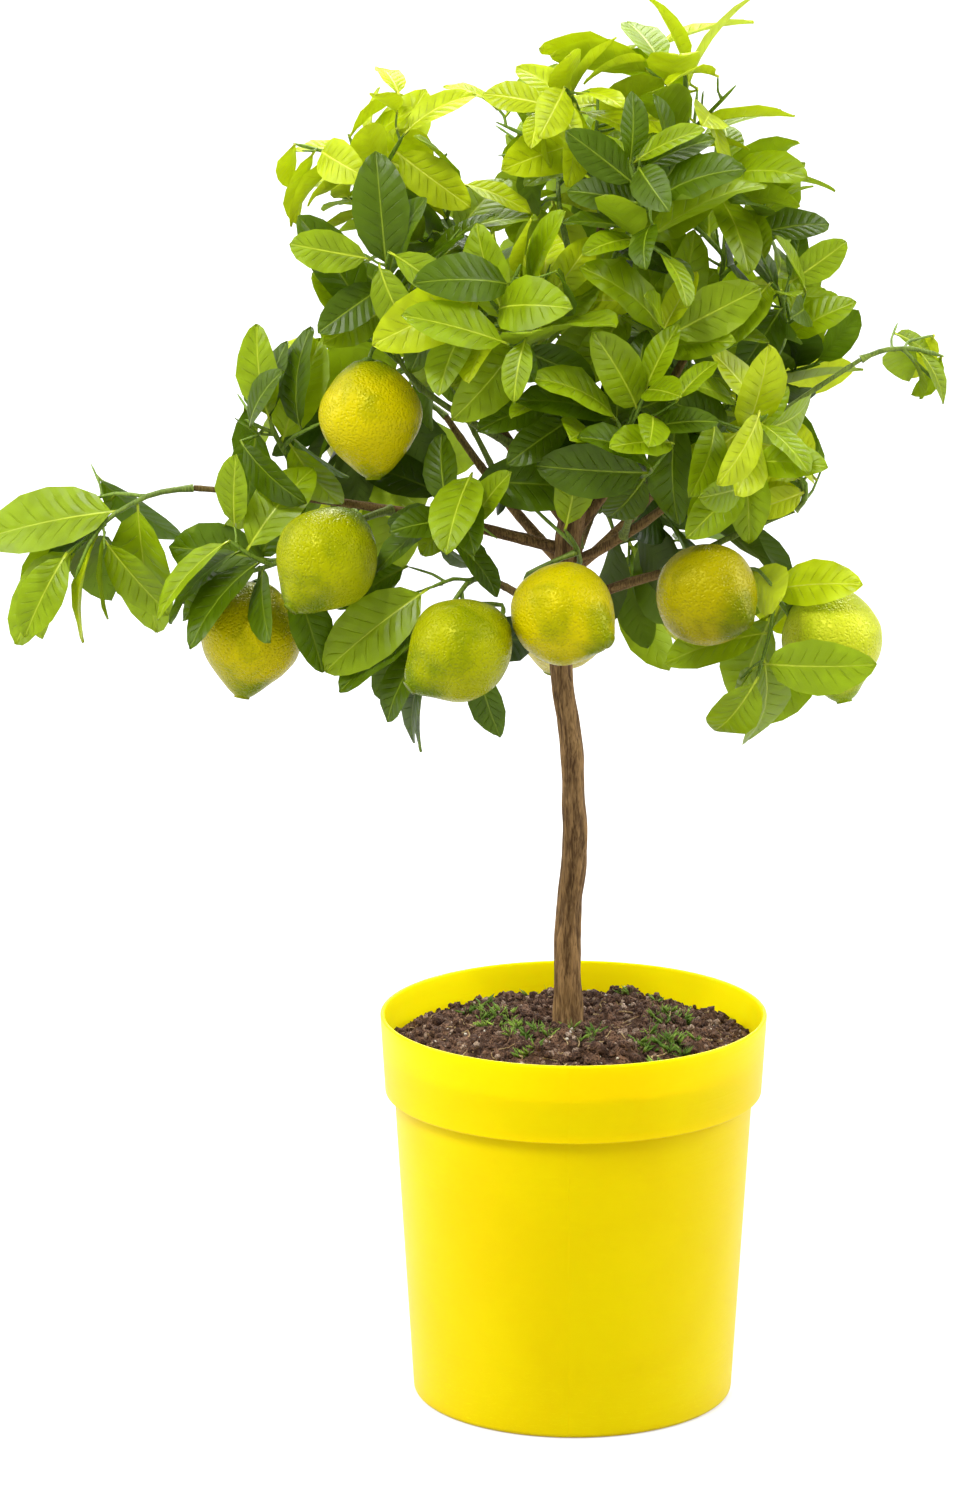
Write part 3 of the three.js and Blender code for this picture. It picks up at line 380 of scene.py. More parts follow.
@dataclass(frozen=True)
class LeafSizes:
    """The leaves of the solids, in the order of growth."""

    length: float = 0.088
    half_width: float = 0.245
    thickness: float = 0.014
    sunk: float = 0.0006
    neck: float = 0.07
    neck_depth: float = 0.0006
    fold: float = 0.18
    spacing: float = 0.014
    tries: int = 14
    looser: int = 4
    last: float = 0.985
    lengths: Span = (0.75, 1.12)
    curl: Span = (0.25, 0.95)
    droop: Span = (0.6, 1.4)
    light_above: Span = (0.15, 1.0)
    light_outside: Span = (0.5, 1.15)
    shrink: float = 0.97
    spread_at_foot: float = 72.0
    spread_at_tip: float = 30.0
    jitter: float = 20.0
    roll: float = 50.0
    outline: tuple[Span, Span] = ((0.34, 0.88), (0.68, 0.86))


@dataclass(frozen=True)
class LemonSizes:
    """A lemon, turned about the line from its stalk to its nipple."""

    length: float = 0.072
    radius: float = 0.032
    fullness: float = 0.62
    nipple: float = 0.004
    nipple_radius: float = 0.005
    nipple_spread: float = 0.07
    stalk_radius: float = 0.0015
    stalk_bend: float = 0.4
    stalk_sunk: float = 0.005
    stalk_places: tuple[float, ...] = (0.3, 0.45, 0.6, 0.75, 0.9)


@dataclass(frozen=True)
class ToneRule:
    """How the tone of the leaves strays from their mass's, and where one tone ends and the next begins."""

    by_shoot: Span = (-0.22, 0.22)
    by_sprig: Span = (-0.05, 0.05)
    by_leaf: Span = (-0.15, 0.15)
    # How much lighter a leaf is painted on the side of its mass that looks out of the crown: painted light
    outside: float = 0.14
    steps: tuple[tuple[Tone, float], ...] = ((Tone.LIME, 0.78), (Tone.FRESH, 0.52), (Tone.FULL, 0.28))
    seed_step: int = 9000

    def tone(self, light: float) -> Tone:
        """The tone for a light."""
        return next((tone for tone, least in self.steps if light >= least), Tone.DEEP)


TRUNK = TrunkSizes()
TONES = ToneRule()
SHOOT = ShootSizes()
LEAF = LeafSizes()
LEMON = LemonSizes()
# How clear a shoot or leaf keeps of a limb or another shoot, and of a lemon
ROOM_ROUND_LIMB = 0.0008
ROOM_ROUND_LEMON = 0.0025


# The plant's plan: its limbs, then its masses of foliage

LIMBS = (
    LimbPlan("bough_leader", "trunk", 0.965, (0.016, 0.004, 0.772), 0.02, (0.0046, 0.0024)),
    LimbPlan("bough_left_rising", "trunk", 0.945, (-0.108, -0.012, 0.748), -0.1, (0.0044, 0.0024)),
    LimbPlan("bough_right_rising", "trunk", 0.92, (0.084, 0.0, 0.714), -0.1, (0.0042, 0.0023)),
    LimbPlan("bough_left", "trunk", 0.9, (-0.24, -0.04, 0.608), 0.06, (0.0042, 0.0019)),
    LimbPlan("bough_right", "trunk", 0.87, (0.092, -0.052, 0.628), -0.08, (0.0039, 0.0022)),
    LimbPlan("bough_back_left", "trunk", 0.872, (-0.082, 0.062, 0.634), -0.08, (0.0039, 0.0022)),
    LimbPlan("bough_back_right", "trunk", 0.85, (0.084, 0.066, 0.622), -0.08, (0.0039, 0.0022)),
    LimbPlan("bough_back", "trunk", 0.82, (0.012, 0.072, 0.568), 0.05, (0.0039, 0.0022)),
    LimbPlan("bough_right_low", "trunk", 0.79, (0.084, -0.042, 0.56), 0.07, (0.0039, 0.0023)),
    LimbPlan("bough_front_left", "trunk", 0.76, (-0.056, -0.066, 0.556), 0.05, (0.0037, 0.0022)),
    LimbPlan("bough_top_right", "bough_leader", 0.55, (0.058, 0.012, 0.776), -0.06, (0.0027, 0.0019)),
    LimbPlan("bough_back_top", "bough_leader", 0.62, (-0.008, 0.04, 0.762), -0.06, (0.0026, 0.0019)),
    LimbPlan("bough_front_upper", "bough_leader", 0.42, (0.018, -0.046, 0.738), -0.04, (0.0026, 0.0019)),
    LimbPlan("bough_front_centre", "bough_leader", 0.2, (-0.018, -0.062, 0.672), -0.06, (0.0028, 0.0019)),
    LimbPlan("bough_left_heart", "bough_left_rising", 0.62, (-0.066, -0.004, 0.722), 0.02, (0.0025, 0.0018)),
    LimbPlan("bough_left_inner", "bough_left_rising", 0.4, (-0.096, -0.048, 0.672), -0.04, (0.0027, 0.0019)),
    LimbPlan("bough_right_heart", "bough_right_rising", 0.4, (0.05, -0.026, 0.676), 0.02, (0.0025, 0.0018)),
    LimbPlan("bough_right_outer", "bough_right_rising", 0.55, (0.118, -0.018, 0.682), 0.05, (0.0026, 0.0018)),
    LimbPlan("bough_right_end", "bough_right", 0.72, (0.178, -0.03, 0.688), 0.06, (0.0023, 0.0015)),
    LimbPlan("bough_right_side", "bough_right_low", 0.7, (0.138, -0.022, 0.59), 0.05, (0.0024, 0.0016)),
    LimbPlan("bough_centre", "bough_right", 0.4, (0.036, -0.06, 0.606), -0.04, (0.0026, 0.0018)),
    LimbPlan("bough_front_low", "bough_front_left", 0.45, (-0.002, -0.072, 0.562), 0.08, (0.0025, 0.0018)),
    LimbPlan("bough_centre_left", "bough_left", 0.26, (-0.062, -0.054, 0.606), 0.05, (0.0026, 0.0018)),
    LimbPlan("bough_left_low", "bough_left", 0.5, (-0.16, -0.062, 0.578), 0.08, (0.0025, 0.0018)),
    LimbPlan("bough_left_high", "bough_left", 0.66, (-0.178, -0.046, 0.626), -0.05, (0.0024, 0.0017)),
    LimbPlan("bough_back_centre", "bough_back", 0.55, (0.004, 0.064, 0.64), -0.06, (0.0026, 0.0018)),
    LimbPlan("bough_left_back", "bough_back_left", 0.5, (-0.068, 0.02, 0.64), 0.04, (0.0024, 0.0017)),
    LimbPlan("bough_right_back", "bough_back_right", 0.5, (0.066, 0.022, 0.636), 0.04, (0.0024, 0.0017)),
)

FOLIAGE = (
    MassPlan(
        "foliage_top", "bough_leader", (-0.005, 0.006, 0.837), (0.088, 0.085, 0.068),
        3, 0.8, 0.1, 104, 0.88,
    ),
    MassPlan(
        "foliage_top_right", "bough_top_right", (0.062, 0.004, 0.853), (0.096, 0.069, 0.073),
        3, 0.95, 0, 426, 0.94,
    ),
    MassPlan(
        "foliage_back_top", "bough_back_top", (-0.007, 0.086, 0.784), (0.096, 0.079, 0.07),
        3, 1, 0.2, 180, 0.76,
    ),
    MassPlan(
        "foliage_front_upper", "bough_front_upper", (0.046, -0.083, 0.784), (0.08, 0.062, 0.081),
        3, 0.95, 0.05, 158, 0.54,
    ),
    MassPlan(
        "foliage_upper_left", "bough_left_rising", (-0.132, -0.017, 0.817), (0.091, 0.064, 0.061),
        3, 0.82, 0.2, 912, 1.06,
    ),
    MassPlan(
        "foliage_left_heart", "bough_left_heart", (-0.082, -0.002, 0.773), (0.083, 0.088, 0.071),
        3, 0.95, 0, 302, 0.6,
    ),
    MassPlan(
        "foliage_left_inner", "bough_left_inner", (-0.106, -0.074, 0.751), (0.082, 0.061, 0.079),
        3, 1, 0.15, 474, 0.48,
        (
            LemonPlan((-0.128, -0.092, 0.664), (0.05, -0.15, -1.0), Ripeness.YELLOW),
        ),
    ),
    MassPlan(
        "foliage_front_centre", "bough_front_centre", (-0.052, -0.104, 0.733), (0.086, 0.079, 0.075),
        4, 1, 0.2, 816, 0.6,
    ),
    MassPlan(
        "foliage_right_upper", "bough_right_rising", (0.081, -0.007, 0.785), (0.084, 0.085, 0.067),
        4, 0.95, 0.05, 809, 0.72,
    ),
    MassPlan(
        "foliage_right_heart", "bough_right_heart", (0.038, -0.06, 0.72), (0.087, 0.078, 0.06),
        3, 1, 0.1, 35, 0.54,
    ),
    MassPlan(
        "foliage_right_outer", "bough_right_outer", (0.115, -0.023, 0.728), (0.064, 0.071, 0.063),
        2, 0.8, 0.4, 386, 0.6,
    ),
    MassPlan(
        "foliage_right_end", "bough_right_end", (0.223, -0.01, 0.684), (0.04, 0.04, 0.034),
        1, 0.66, 0.55, 695, 0.7,
    ),
    MassPlan(
        "foliage_right_middle", "bough_right", (0.092, -0.09, 0.652), (0.069, 0.073, 0.075),
        4, 1, 0.4, 19, 0.6,
    ),
    MassPlan(
        "foliage_right_side", "bough_right_side", (0.118, -0.017, 0.626), (0.052, 0.042, 0.049),
        3, 0.65, 0.4, 391, 0.78,
    ),
    MassPlan(
        "foliage_right_low", "bough_right_low", (0.131, -0.071, 0.521), (0.087, 0.087, 0.082),
        4, 1.05, 0.2, 545, 0.84,
        (
            LemonPlan((0.08, -0.112, 0.555), (0.62, -0.74, -0.26), Ripeness.OLIVE),
            LemonPlan((0.16, -0.072, 0.518), (0.2, -0.15, -0.97), Ripeness.PALE),
        ),
    ),
    MassPlan(
        "foliage_centre", "bough_centre", (0.02, -0.104, 0.66), (0.085, 0.071, 0.077),
        3, 0.95, 0.1, 304, 0.44,
    ),
    MassPlan(
        "foliage_front_low", "bough_front_low", (-0.007, -0.091, 0.596), (0.07, 0.07, 0.064),
        2, 0.95, 0.25, 907, 0.44,
        (
            LemonPlan((-0.009, -0.128, 0.547), (0.7, -0.64, -0.3), Ripeness.YELLOW),
        ),
    ),
    MassPlan(
        "foliage_front_left_low", "bough_front_left", (-0.083, -0.096, 0.521), (0.077, 0.067, 0.074),
        4, 1, 0.3, 180, 0.4,
        (
            LemonPlan((-0.073, -0.138, 0.526), (-0.78, -0.34, -0.52), Ripeness.GREEN),
        ),
    ),
    MassPlan(
        "foliage_centre_left", "bough_centre_left", (-0.07, -0.091, 0.605), (0.081, 0.069, 0.065),
        3, 1, 0.05, 295, 0.44,
    ),
    MassPlan(
        "foliage_left_low", "bough_left_low", (-0.199, -0.071, 0.562), (0.077, 0.063, 0.084),
        4, 1, 0.6, 195, 0.4,
        (
            LemonPlan((-0.155, -0.112, 0.578), (-0.56, -0.42, -0.72), Ripeness.GREEN),
            LemonPlan((-0.204, -0.062, 0.518), (-0.15, -0.2, -0.97), Ripeness.YELLOW),
        ),
    ),
    MassPlan(
        "foliage_left_high", "bough_left_high", (-0.179, -0.056, 0.65), (0.063, 0.044, 0.096),
        2, 1, 0, 305, 0.42,
    ),
    MassPlan(
        "foliage_far_left", "bough_left", (-0.299, -0.037, 0.567), (0.086, 0.051, 0.087),
        2, 1.4, 0.65, 361, 0.72,
    ),
    MassPlan(
        "foliage_back_low", "bough_back", (0.056, 0.113, 0.53), (0.091, 0.084, 0.087),
        4, 1, 0.35, 799, 0.5,
        (
            LemonPlan((0.088, 0.118, 0.499), (0.25, 0.2, -0.95), Ripeness.PALE),
            LemonPlan((-0.006, 0.138, 0.483), (-0.2, 0.3, -0.93), Ripeness.YELLOW),
        ),
    ),
    MassPlan(
        "foliage_back_left", "bough_back_left", (-0.129, 0.089, 0.615), (0.096, 0.08, 0.096),
        5, 1, 0.2, 21, 0.5,
        (
            LemonPlan((-0.132, 0.122, 0.614), (-0.2, 0.2, -0.96), Ripeness.GREEN),
        ),
    ),
    MassPlan(
        "foliage_back_right", "bough_back_right", (0.111, 0.093, 0.649), (0.096, 0.079, 0.085),
        5, 1, 0.05, 263, 0.5,
    ),
    MassPlan(
        "foliage_back_centre", "bough_back_centre", (-0.006, 0.113, 0.713), (0.085, 0.082, 0.072),
        4, 1, 0.2, 677, 0.56,
    ),
    MassPlan(
        "foliage_left_back", "bough_left_back", (-0.079, 0.018, 0.692), (0.06, 0.071, 0.062),
        3, 0.95, 0.4, 494, 0.4,
    ),
    MassPlan(
        "foliage_right_back", "bough_right_back", (0.062, 0.026, 0.682), (0.064, 0.056, 0.062),
        3, 0.95, 0.2, 735, 0.42,
    ),
)


# Feeling for room

# The solid leaf's faces by corner: four on top, then the underside about the keel
LEAF_FACES = np.array([
    [0, 5, 1], [1, 5, 4], [1, 4, 2], [2, 4, 3], [0, 1, 6], [0, 6, 5],
    [6, 1, 7], [6, 7, 5], [1, 2, 7], [2, 3, 7], [3, 4, 7], [4, 5, 7],
])
LEAF_EDGES = np.array([
    [face[i], face[(i + 1) % 3]] for face in LEAF_FACES for i in range(3) if face[i] < face[(i + 1) % 3]
])
# Where a leaf is felt: along it, and across it as a share of its half width
LEAF_SPOTS = np.array([
    [0.25, 0], [0.34, -0.85], [0.34, 0.85], [0.4, -0.4], [0.4, 0.4], [0.52, -0.88], [0.52, 0.88],
    [0.68, -0.8], [0.68, -0.35], [0.68, 0.35], [0.68, 0.8], [0.85, 0], [0.98, 0],
])
LEAF_SPIKE = 0.001
ROOT_SPARED = 0.2


def pass_through(edges: Array, faces: Array) -> bool:
    """Whether any straight edge passes through any triangle.

    Each edge and triangle are solved for the edge's share and the triangle's two shares where they meet.

    Args:
        edges: Their ends, (E, 2, 3).
        faces: Their corners, (F, 3, 3).

    Returns:
        True where all three shares lie inside for at least one pair.
    """
    low, high = edges.min(1)[:, None], edges.max(1)[:, None]
    meet = ((low <= faces.max(1)) & (high >= faces.min(1))).all(-1)
    edge, face = np.nonzero(meet)
    start, along = edges[edge, 0], edges[edge, 1] - edges[edge, 0]
    corner = faces[face, 0]
    one, two = faces[face, 1] - corner, faces[face, 2] - corner
    tilted = np.cross(along, two)
    scale = (one * tilted).sum(-1)
    safe = np.where(np.abs(scale) < IN_PLANE, np.inf, scale)
    offset = start - corner
    first = (offset * tilted).sum(-1) / safe
    turned = np.cross(offset, one)
    second = (along * turned).sum(-1) / safe
    share = (two * turned).sum(-1) / safe
    flat = ~np.isfinite(safe)
    in_face = (first >= 0) & (first <= 1) & (second >= 0) & (first + second <= 1)
    return bool((in_face & (share >= 0) & (share <= 1) & ~flat).any())


def in_sky_gap(points: Array) -> bool:
    """Whether any point lies in a gap: carried along its line to the eye onto y = 0, it is in an oval there.

    Args:
        points: The places, (count, 3).

    Returns:
        True where any of them lies in a gap.
    """
    share = EYE[1] / (EYE[1] - points[:, 1:2])
    passing = lerp(EYE, points, share)[:, [0, 2]]
    out = np.linalg.norm((passing[:, None] - GAP_MIDDLES) / GAP_HALVES, axis=-1)
    return bool((out < 1.0).any())


def from_segment(points: Array, start: Array, end: Array) -> Array:
    """The distance from points to segments, all arrays of matching shape (..., 3).

    Args:
        points: The places.
        start: Where the segments start.
        end: Where they end.

    Returns:
        The distances, in metres.
    """
    along = end - start
    share = np.clip(((points - start) * along).sum(-1) / (along * along).sum(-1), 0.0, 1.0)
    return np.linalg.norm(points - start - along * share[..., None], axis=-1)


def between_segments(start: Array, end: Array, other_start: Array, other_end: Array) -> Array:
    """The distance between segments, from the nearest places on their two lines, held to their ends.

    Args:
        start: Where the first segments start.
        end: Where they end.
        other_start: Where the other segments start.
        other_end: Where those end.

    Returns:
        The distances, in metres.
    """
    along, other, apart = end - start, other_end - other_start, start - other_start
    aa, ao, oo = (along * along).sum(-1), (along * other).sum(-1), (other * other).sum(-1)
    ap, op = (along * apart).sum(-1), (other * apart).sum(-1)
    flat = aa * oo - ao * ao
    usable = flat > PARALLEL
    first = np.where(usable, np.clip((ao * op - oo * ap) / np.where(usable, flat, 1.0), 0.0, 1.0), 0.0)
    near = start + along * first[..., None]
    share = np.clip(((near - other_start) * other).sum(-1) / oo, 0.0, 1.0)
    return from_segment(other_start + other * share[..., None], start, end)


@dataclass
class Rod:
    """A limb or twig as it is felt: straight stretches with a radius each."""

    starts: Array
    ends: Array
    radii: Array
    owner: str

    @classmethod
    def along(cls, line: MiddleLine, radius: Span, steps: int, owner: str) -> "Rod":
        """The rod of a line whose radius runs evenly from foot to tip.

        Args:
            line: The middle line.
            radius: The radii at its foot and its tip.
            steps: How many straight stretches it has.
            owner: The name of the limb or mass that it belongs to.

        Returns:
            The rod.
        """
        shares = np.linspace(0.0, 1.0, steps + 1)
        places = line.at(shares)
        return cls(places[:-1], places[1:], lerp(*radius, shares[:-1]), owner)


@dataclass
class Card:
    """A leaf as it is felt: its faces, its edges with a spike at each spot, and the edges at its root."""

    faces: Array
    edges: Array
    roots: Array
    spots: Array
    heart: Array
    size: float
    owner: str

    def felt_edges(self, owner: str) -> Array:
        """Its edges as felt by an owner: with the root's, unless the card is its own."""
        return self.edges if owner == self.owner else np.concatenate([self.edges, self.roots])


def blade(leaf: "Leaf", along: Array, sideways: Array, lift: Array | float) -> Array:
    """Places on a leaf's blade.

    The midrib is an arc that bends down by the curl in all: it reaches sin(turn) / curl and drops
    (1 - cos(turn)) / curl of the length. The two halves rise from it by the fold.

    Args:
        leaf: The leaf.
        along: Shares of the way from the root to the tip.
        sideways: Distances from the midrib, positive to the leaf's side.
        lift: Distances off the surface.

    Returns:
        The places, (..., 3).
    """
    turn = leaf.curl * along
    reach = np.sin(turn) / leaf.curl * leaf.length
    drop = (1.0 - np.cos(turn)) / leaf.curl * leaf.length
    normal = leaf.upper * np.cos(turn)[..., None] + leaf.heading * np.sin(turn)[..., None]
    rise = np.abs(sideways) * math.sin(LEAF.fold) + lift
    return (
        leaf.root
        + leaf.heading * reach[..., None]
        - leaf.upper * drop[..., None]
        + leaf.side * (sideways * math.cos(LEAF.fold))[..., None]
        + normal * rise[..., None]
    )


@dataclass
class Leaf:
    """A leaf's place: its root, heading, upper side, length and curl, and the light its spray stands in."""

    root: Array
    heading: Array
    upper: Array
    length: float
    curl: float
    light: float = 0.5
    side: Array = field(init=False)

    def __post_init__(self) -> None:
        """Squares the upper side to the heading."""
        self.side = unit(np.cross(self.heading, self.upper))
        self.upper = unit(np.cross(self.side, self.heading))

    def card(self, owner: str) -> Card:
        """The leaf as it is felt, from the eight corners of its solid.

        Args:
            owner: The name of the leaf's mass.

        Returns:
            The card.
        """
        wide = self.length * LEAF.half_width
        (low, low_wide), (high, high_wide) = LEAF.outline
        along = np.array([0.0, low, high, 1.0, high, low, LEAF.neck, 0.5])
        sideways = np.array([0.0, -low_wide, -high_wide, 0.0, high_wide, low_wide, 0.0, 0.0]) * wide
        lift = np.array([0.0] * 6 + [-LEAF.neck_depth, -self.length * LEAF.thickness])
        corners = blade(self, along, sideways, lift)
        corners[0] -= self.heading * LEAF.sunk
        starts, ends = corners[LEAF_EDGES[:, 0]], corners[LEAF_EDGES[:, 1]]
        at_root = LEAF_EDGES[:, 0] == 0
        split = np.where(at_root[:, None], lerp(starts, ends, ROOT_SPARED), starts)
        roots = np.stack([starts[at_root], split[at_root]], axis=1)
        where, aside, lifts = LEAF_SPOTS[:, 0], LEAF_SPOTS[:, 1] * wide, (-2 * LEAF_SPIKE, LEAF_SPIKE, 0.0)
        low_ends, high_ends, spots = (blade(self, where, aside, lift) for lift in lifts)
        edges = np.concatenate([np.stack([split, ends], axis=1), np.stack([low_ends, high_ends], axis=1)])
        heart = blade(self, np.array(0.5), np.array(0.0), 0.0)
        size = float(np.linalg.norm(corners - heart, axis=1).max()) + 2 * LEAF_SPIKE
        return Card(corners[LEAF_FACES], edges, roots, spots, heart, size, owner)


@dataclass
class Lemon:
    """A lemon's place and kind."""

    plan: LemonPlan

    def __post_init__(self) -> None:
        """Works out its axis and its crown, where the stalk enters it."""
        self.middle = np.array(self.plan.middle)
        self.axis = unit(np.array(self.plan.nipple))
        self.crown = self.middle - self.axis * LEMON.length / 2

    def holds(self, points: Array, margin: float) -> bool:
        """Whether any point is inside the lemon, or within a margin of it.

        Args:
            points: The places, (count, 3).
            margin: How near a place may come, in metres.

        Returns:
            True where any place is.
        """
        off = points - self.middle
        along = off @ self.axis
        aside = np.sqrt(np.maximum((off * off).sum(-1) - along * along, 0.0))
        half = LEMON.length / 2 + LEMON.nipple + margin
        return bool(((along / half) ** 2 + (aside / (LEMON.radius + margin)) ** 2 < 1).any())


@dataclass
class Shoot:
    """A stem, twig or stalk: its line, its radius at both ends, how far along its leaves start, its light."""

    line: MiddleLine
    radii: Span
    steps: int
    leafy: float
    rod: Rod
    light: float


# Growing


class Limbs:
    """The trunk and the boughs: the lines that everything else grows from."""

    def __init__(self) -> None:
        """Works out each limb's line from the one that it leaves."""
        self.lines: dict[str, MiddleLine] = {"trunk": TRUNK.line()}
        shares = np.linspace(0.0, 1.0, TRUNK.steps + 1)
        places = self.lines["trunk"].at(shares)
        self.rods = [Rod(places[:-1], places[1:], TRUNK.radius(shares[:-1]), "trunk")]
        for plan in LIMBS:
            start, tip = self.lines[plan.leaves].at(plan.where), np.array(plan.tip)
            arch = plan.arch * np.linalg.norm(tip - start)
            line = Bow(start, lerp(start, tip, SHOOT.limb_bend) + UP * arch, tip)
            self.lines[plan.name] = line
            self.rods.append(Rod.along(line, plan.radii, SHOOT.limb_steps, plan.name))


class Mass:
    """One mass of foliage as it grows: its stem, then its lemons and twigs, then its leaves."""

    def __init__(self, plan: MassPlan, limb: MiddleLine) -> None:
        """Grows the stem on from the limb's tip, past the middle of the space.

        Args:
            plan: The mass's row of the plan.
            limb: The middle line of the limb that bears it.
        """
        self.plan = plan
        self.middle, self.reach = np.array(plan.middle), np.array(plan.reach)
        self.draw = SeededDraw(plan.seed)
        self.tones = SeededDraw(plan.seed + TONES.seed_step)
        self.lemons = [Lemon(lemon) for lemon in plan.lemons]
        self.shoots: list[Shoot] = []
        outward = unit(self.middle - CROWN_HEART + UP * SHOOT.lift)
        heading = limb.heading(1.0)
        start = limb.at(1.0) + heading * CLEARANCE
        end = self.middle + outward * self.reach * SHOOT.past_middle
        bend = start + heading * SHOOT.stem_bend * np.linalg.norm(end - start)
        self.stem = Bow(start, bend, end)
        radii = (SHOOT.stem_radius, SHOOT.radius)
        self.add_shoot(self.stem, radii, SHOOT.stem_steps, SHOOT.stem_leafy_from)

    def add_shoot(self, line: MiddleLine, radii: Span, steps: int, leafy: float) -> Shoot:
        """Adds a shoot and returns it.

        Args:
            line: Its middle line.
            radii: Its radii at foot and tip.
            steps: How many straight stretches it has.
            leafy: The share of the way along it at which its leaves start.

        Returns:
            The shoot.
        """
        rod = Rod.along(line, radii, steps, self.plan.name)
        shoot = Shoot(line, radii, steps, leafy, rod, self.tones.between(*TONES.by_shoot))
        self.shoots.append(shoot)
        return shoot

    def light_at(self, heart: Array, shoot: Shoot) -> float:
        """The tone of a leaf: its mass's and its shoot's, lighter on the side that looks out of the crown, as
        painted light.

        Args:
            heart: The middle of the leaf.
            shoot: The shoot that bears it.

        Returns:
            The light. The more of it, the lighter the tone, partly for youth and partly as painted light.
        """
        outward = unit(self.middle - CROWN_HEART + UP * SHOOT.lift)
        outness = float(((heart - self.middle) / self.reach) @ outward)
        return self.plan.light + shoot.light + TONES.outside * outness + self.tones.between(*TONES.by_leaf)

    def depth(self, points: Array) -> Array:
        """The share of the way out to the edge of the mass's space, under 1 inside it."""
        return np.linalg.norm((points - self.middle) / self.reach, axis=-1)

    def hang_lemons(self) -> None:
        """Hangs each lemon by a stalk from the nearest part of the stem."""
        for lemon in self.lemons:
            places = [self.stem.on_stretches(SHOOT.stem_steps, along) for along in LEMON.stalk_places]
            root = min(places, key=lambda place: float(np.linalg.norm(place - lemon.crown)))
            length = np.linalg.norm(root - lemon.crown)
            bend = lemon.crown - lemon.axis * LEMON.stalk_bend * length
            line = Bow(root, bend, lemon.crown + lemon.axis * LEMON.stalk_sunk)
            self.add_shoot(line, (LEMON.stalk_radius, LEMON.stalk_radius), SHOOT.steps, 1.0)

    def grow_twigs(self, crown: "Crown") -> None:
        """Twigs leave the stem in turn, a golden angle apart, the first wide and the last forward.

        Args:
            crown: The whole crown, which says where there is room.
        """
        phase = self.draw.between(0.0, FULL_TURN)
        for i in range(self.plan.twigs):
            share = (i + 0.5) / self.plan.twigs
            along = lerp(SHOOT.twigs_from, SHOOT.twigs_to, share)
            root = self.stem.on_stretches(SHOOT.stem_steps, along)
            tangent = self.stem.heading(along)
            side, rise = across(tangent, self.stem.chord())
            angle = phase + i * GOLDEN_ANGLE + self.draw.between(-SHOOT.turn, SHOOT.turn)
            radial = swung(side, rise, angle)
            heading = swung(tangent, radial, lerp(SHOOT.lean_at_foot, SHOOT.lean_at_tip, share))
            tip = self.middle + heading * self.reach * self.draw.between(*SHOOT.fill)
            length = float(np.linalg.norm(tip - root))
            bow = Bow(root, root + (tangent + radial) * SHOOT.bend * length, tip)
            rod = Rod.along(bow, (SHOOT.radius, SHOOT.radius), SHOOT.steps, self.plan.name)
            if length > SHOOT.shortest and crown.rod_is_free(rod):
                self.add_shoot(bow, (SHOOT.radius, SHOOT.tip_radius), SHOOT.steps, SHOOT.leafy_from)

    def leaf_on(
        self, draw: SeededDraw, shoot: Shoot, along: float, share: float,
        angle: float, looser: float, size: float,
    ) -> Leaf:
        """Draws one leaf.

        Args:
            draw: The stream of random numbers.
            shoot: The shoot that it stands on.
            along: How far along the shoot it stands.
            share: Its share of the way through the shoot's leaves, which sets how far it spreads.
            angle: Its turn about the shoot.
            looser: How much the random turns grow.
            size: Its usual length.

        Returns:
            The leaf, its upper side turned to the light.
        """
        root = shoot.line.on_stretches(shoot.steps, along)
        tangent = shoot.line.heading(along)
        side, rise = across(tangent, shoot.line.chord())
        turn = angle + 2 * math.radians(draw.between(-LEAF.jitter, LEAF.jitter)) * looser
        spread = math.radians(lerp(LEAF.spread_at_foot, LEAF.spread_at_tip, share))
        spread += math.radians(draw.between(-LEAF.jitter, LEAF.jitter)) * looser
        heading = swung(tangent, swung(side, rise, turn), spread)
        heading = unit(heading - UP * self.plan.hang * draw.between(*LEAF.droop))
        outside = unit((root - CROWN_HEART) * FACING)
        light = UP * draw.between(*LEAF.light_above) + outside * draw.between(*LEAF.light_outside)
        upper = np.cross(unit(np.cross(heading, light)), heading)
        upper = swung(upper, np.cross(heading, upper), math.radians(draw.between(-LEAF.roll, LEAF.roll)))
        length = size * draw.between(*LEAF.lengths)
        return Leaf(root, heading, upper, length, draw.between(*LEAF.curl))

    def bearing(self) -> list[Shoot]:
        """The shoots that bear leaves: all but the lemons' stalks."""
        return [shoot for shoot in self.shoots if shoot.leafy < 1]

    def grow_leaves(self, crown: "Crown") -> None:
        """Leaves stand along the outer part of each shoot, a golden angle apart.

        Args:
            crown: The whole crown, which says where there is room.
        """
        size = LEAF.length * self.plan.leaf
        for shoot in self.bearing():
            length = shoot.line.length() * (1 - shoot.leafy)
            count = max(2, math.floor(length / LEAF.spacing + 0.5)) + 1
            phase = self.draw.between(0.0, FULL_TURN)
            for i in range(count):
                share = i / (count - 1)
                along, angle = lerp(shoot.leafy, LEAF.last, share), phase + i * GOLDEN_ANGLE
                crown.try_leaf(self, shoot, self.draw, along, share, angle, size, LEAF.tries)


@dataclass(frozen=True)
class SprigSizes:
    """The finer growth between the leaves of the solids: side sprigs, and smaller leaves on every shoot."""

    per_shoot: int = 3
    stretch: Span = (0.3, 0.98)
    lean: Span = (math.radians(32.0), math.radians(74.0))
    length: Span = (0.014, 0.036)
    bow: float = 0.3
    radii: Span = (0.0010, 0.0007)
    leaves: int = 3
    leafy_from: float = 0.4
    leaf: Span = (0.6, 0.92)
    extra_leaves: int = 3
    extra_from: float = 0.8
    extra_leaf: Span = (0.65, 1.0)
    tries: int = 6
    seed_step: int = 7000


SPRIG = SprigSizes()
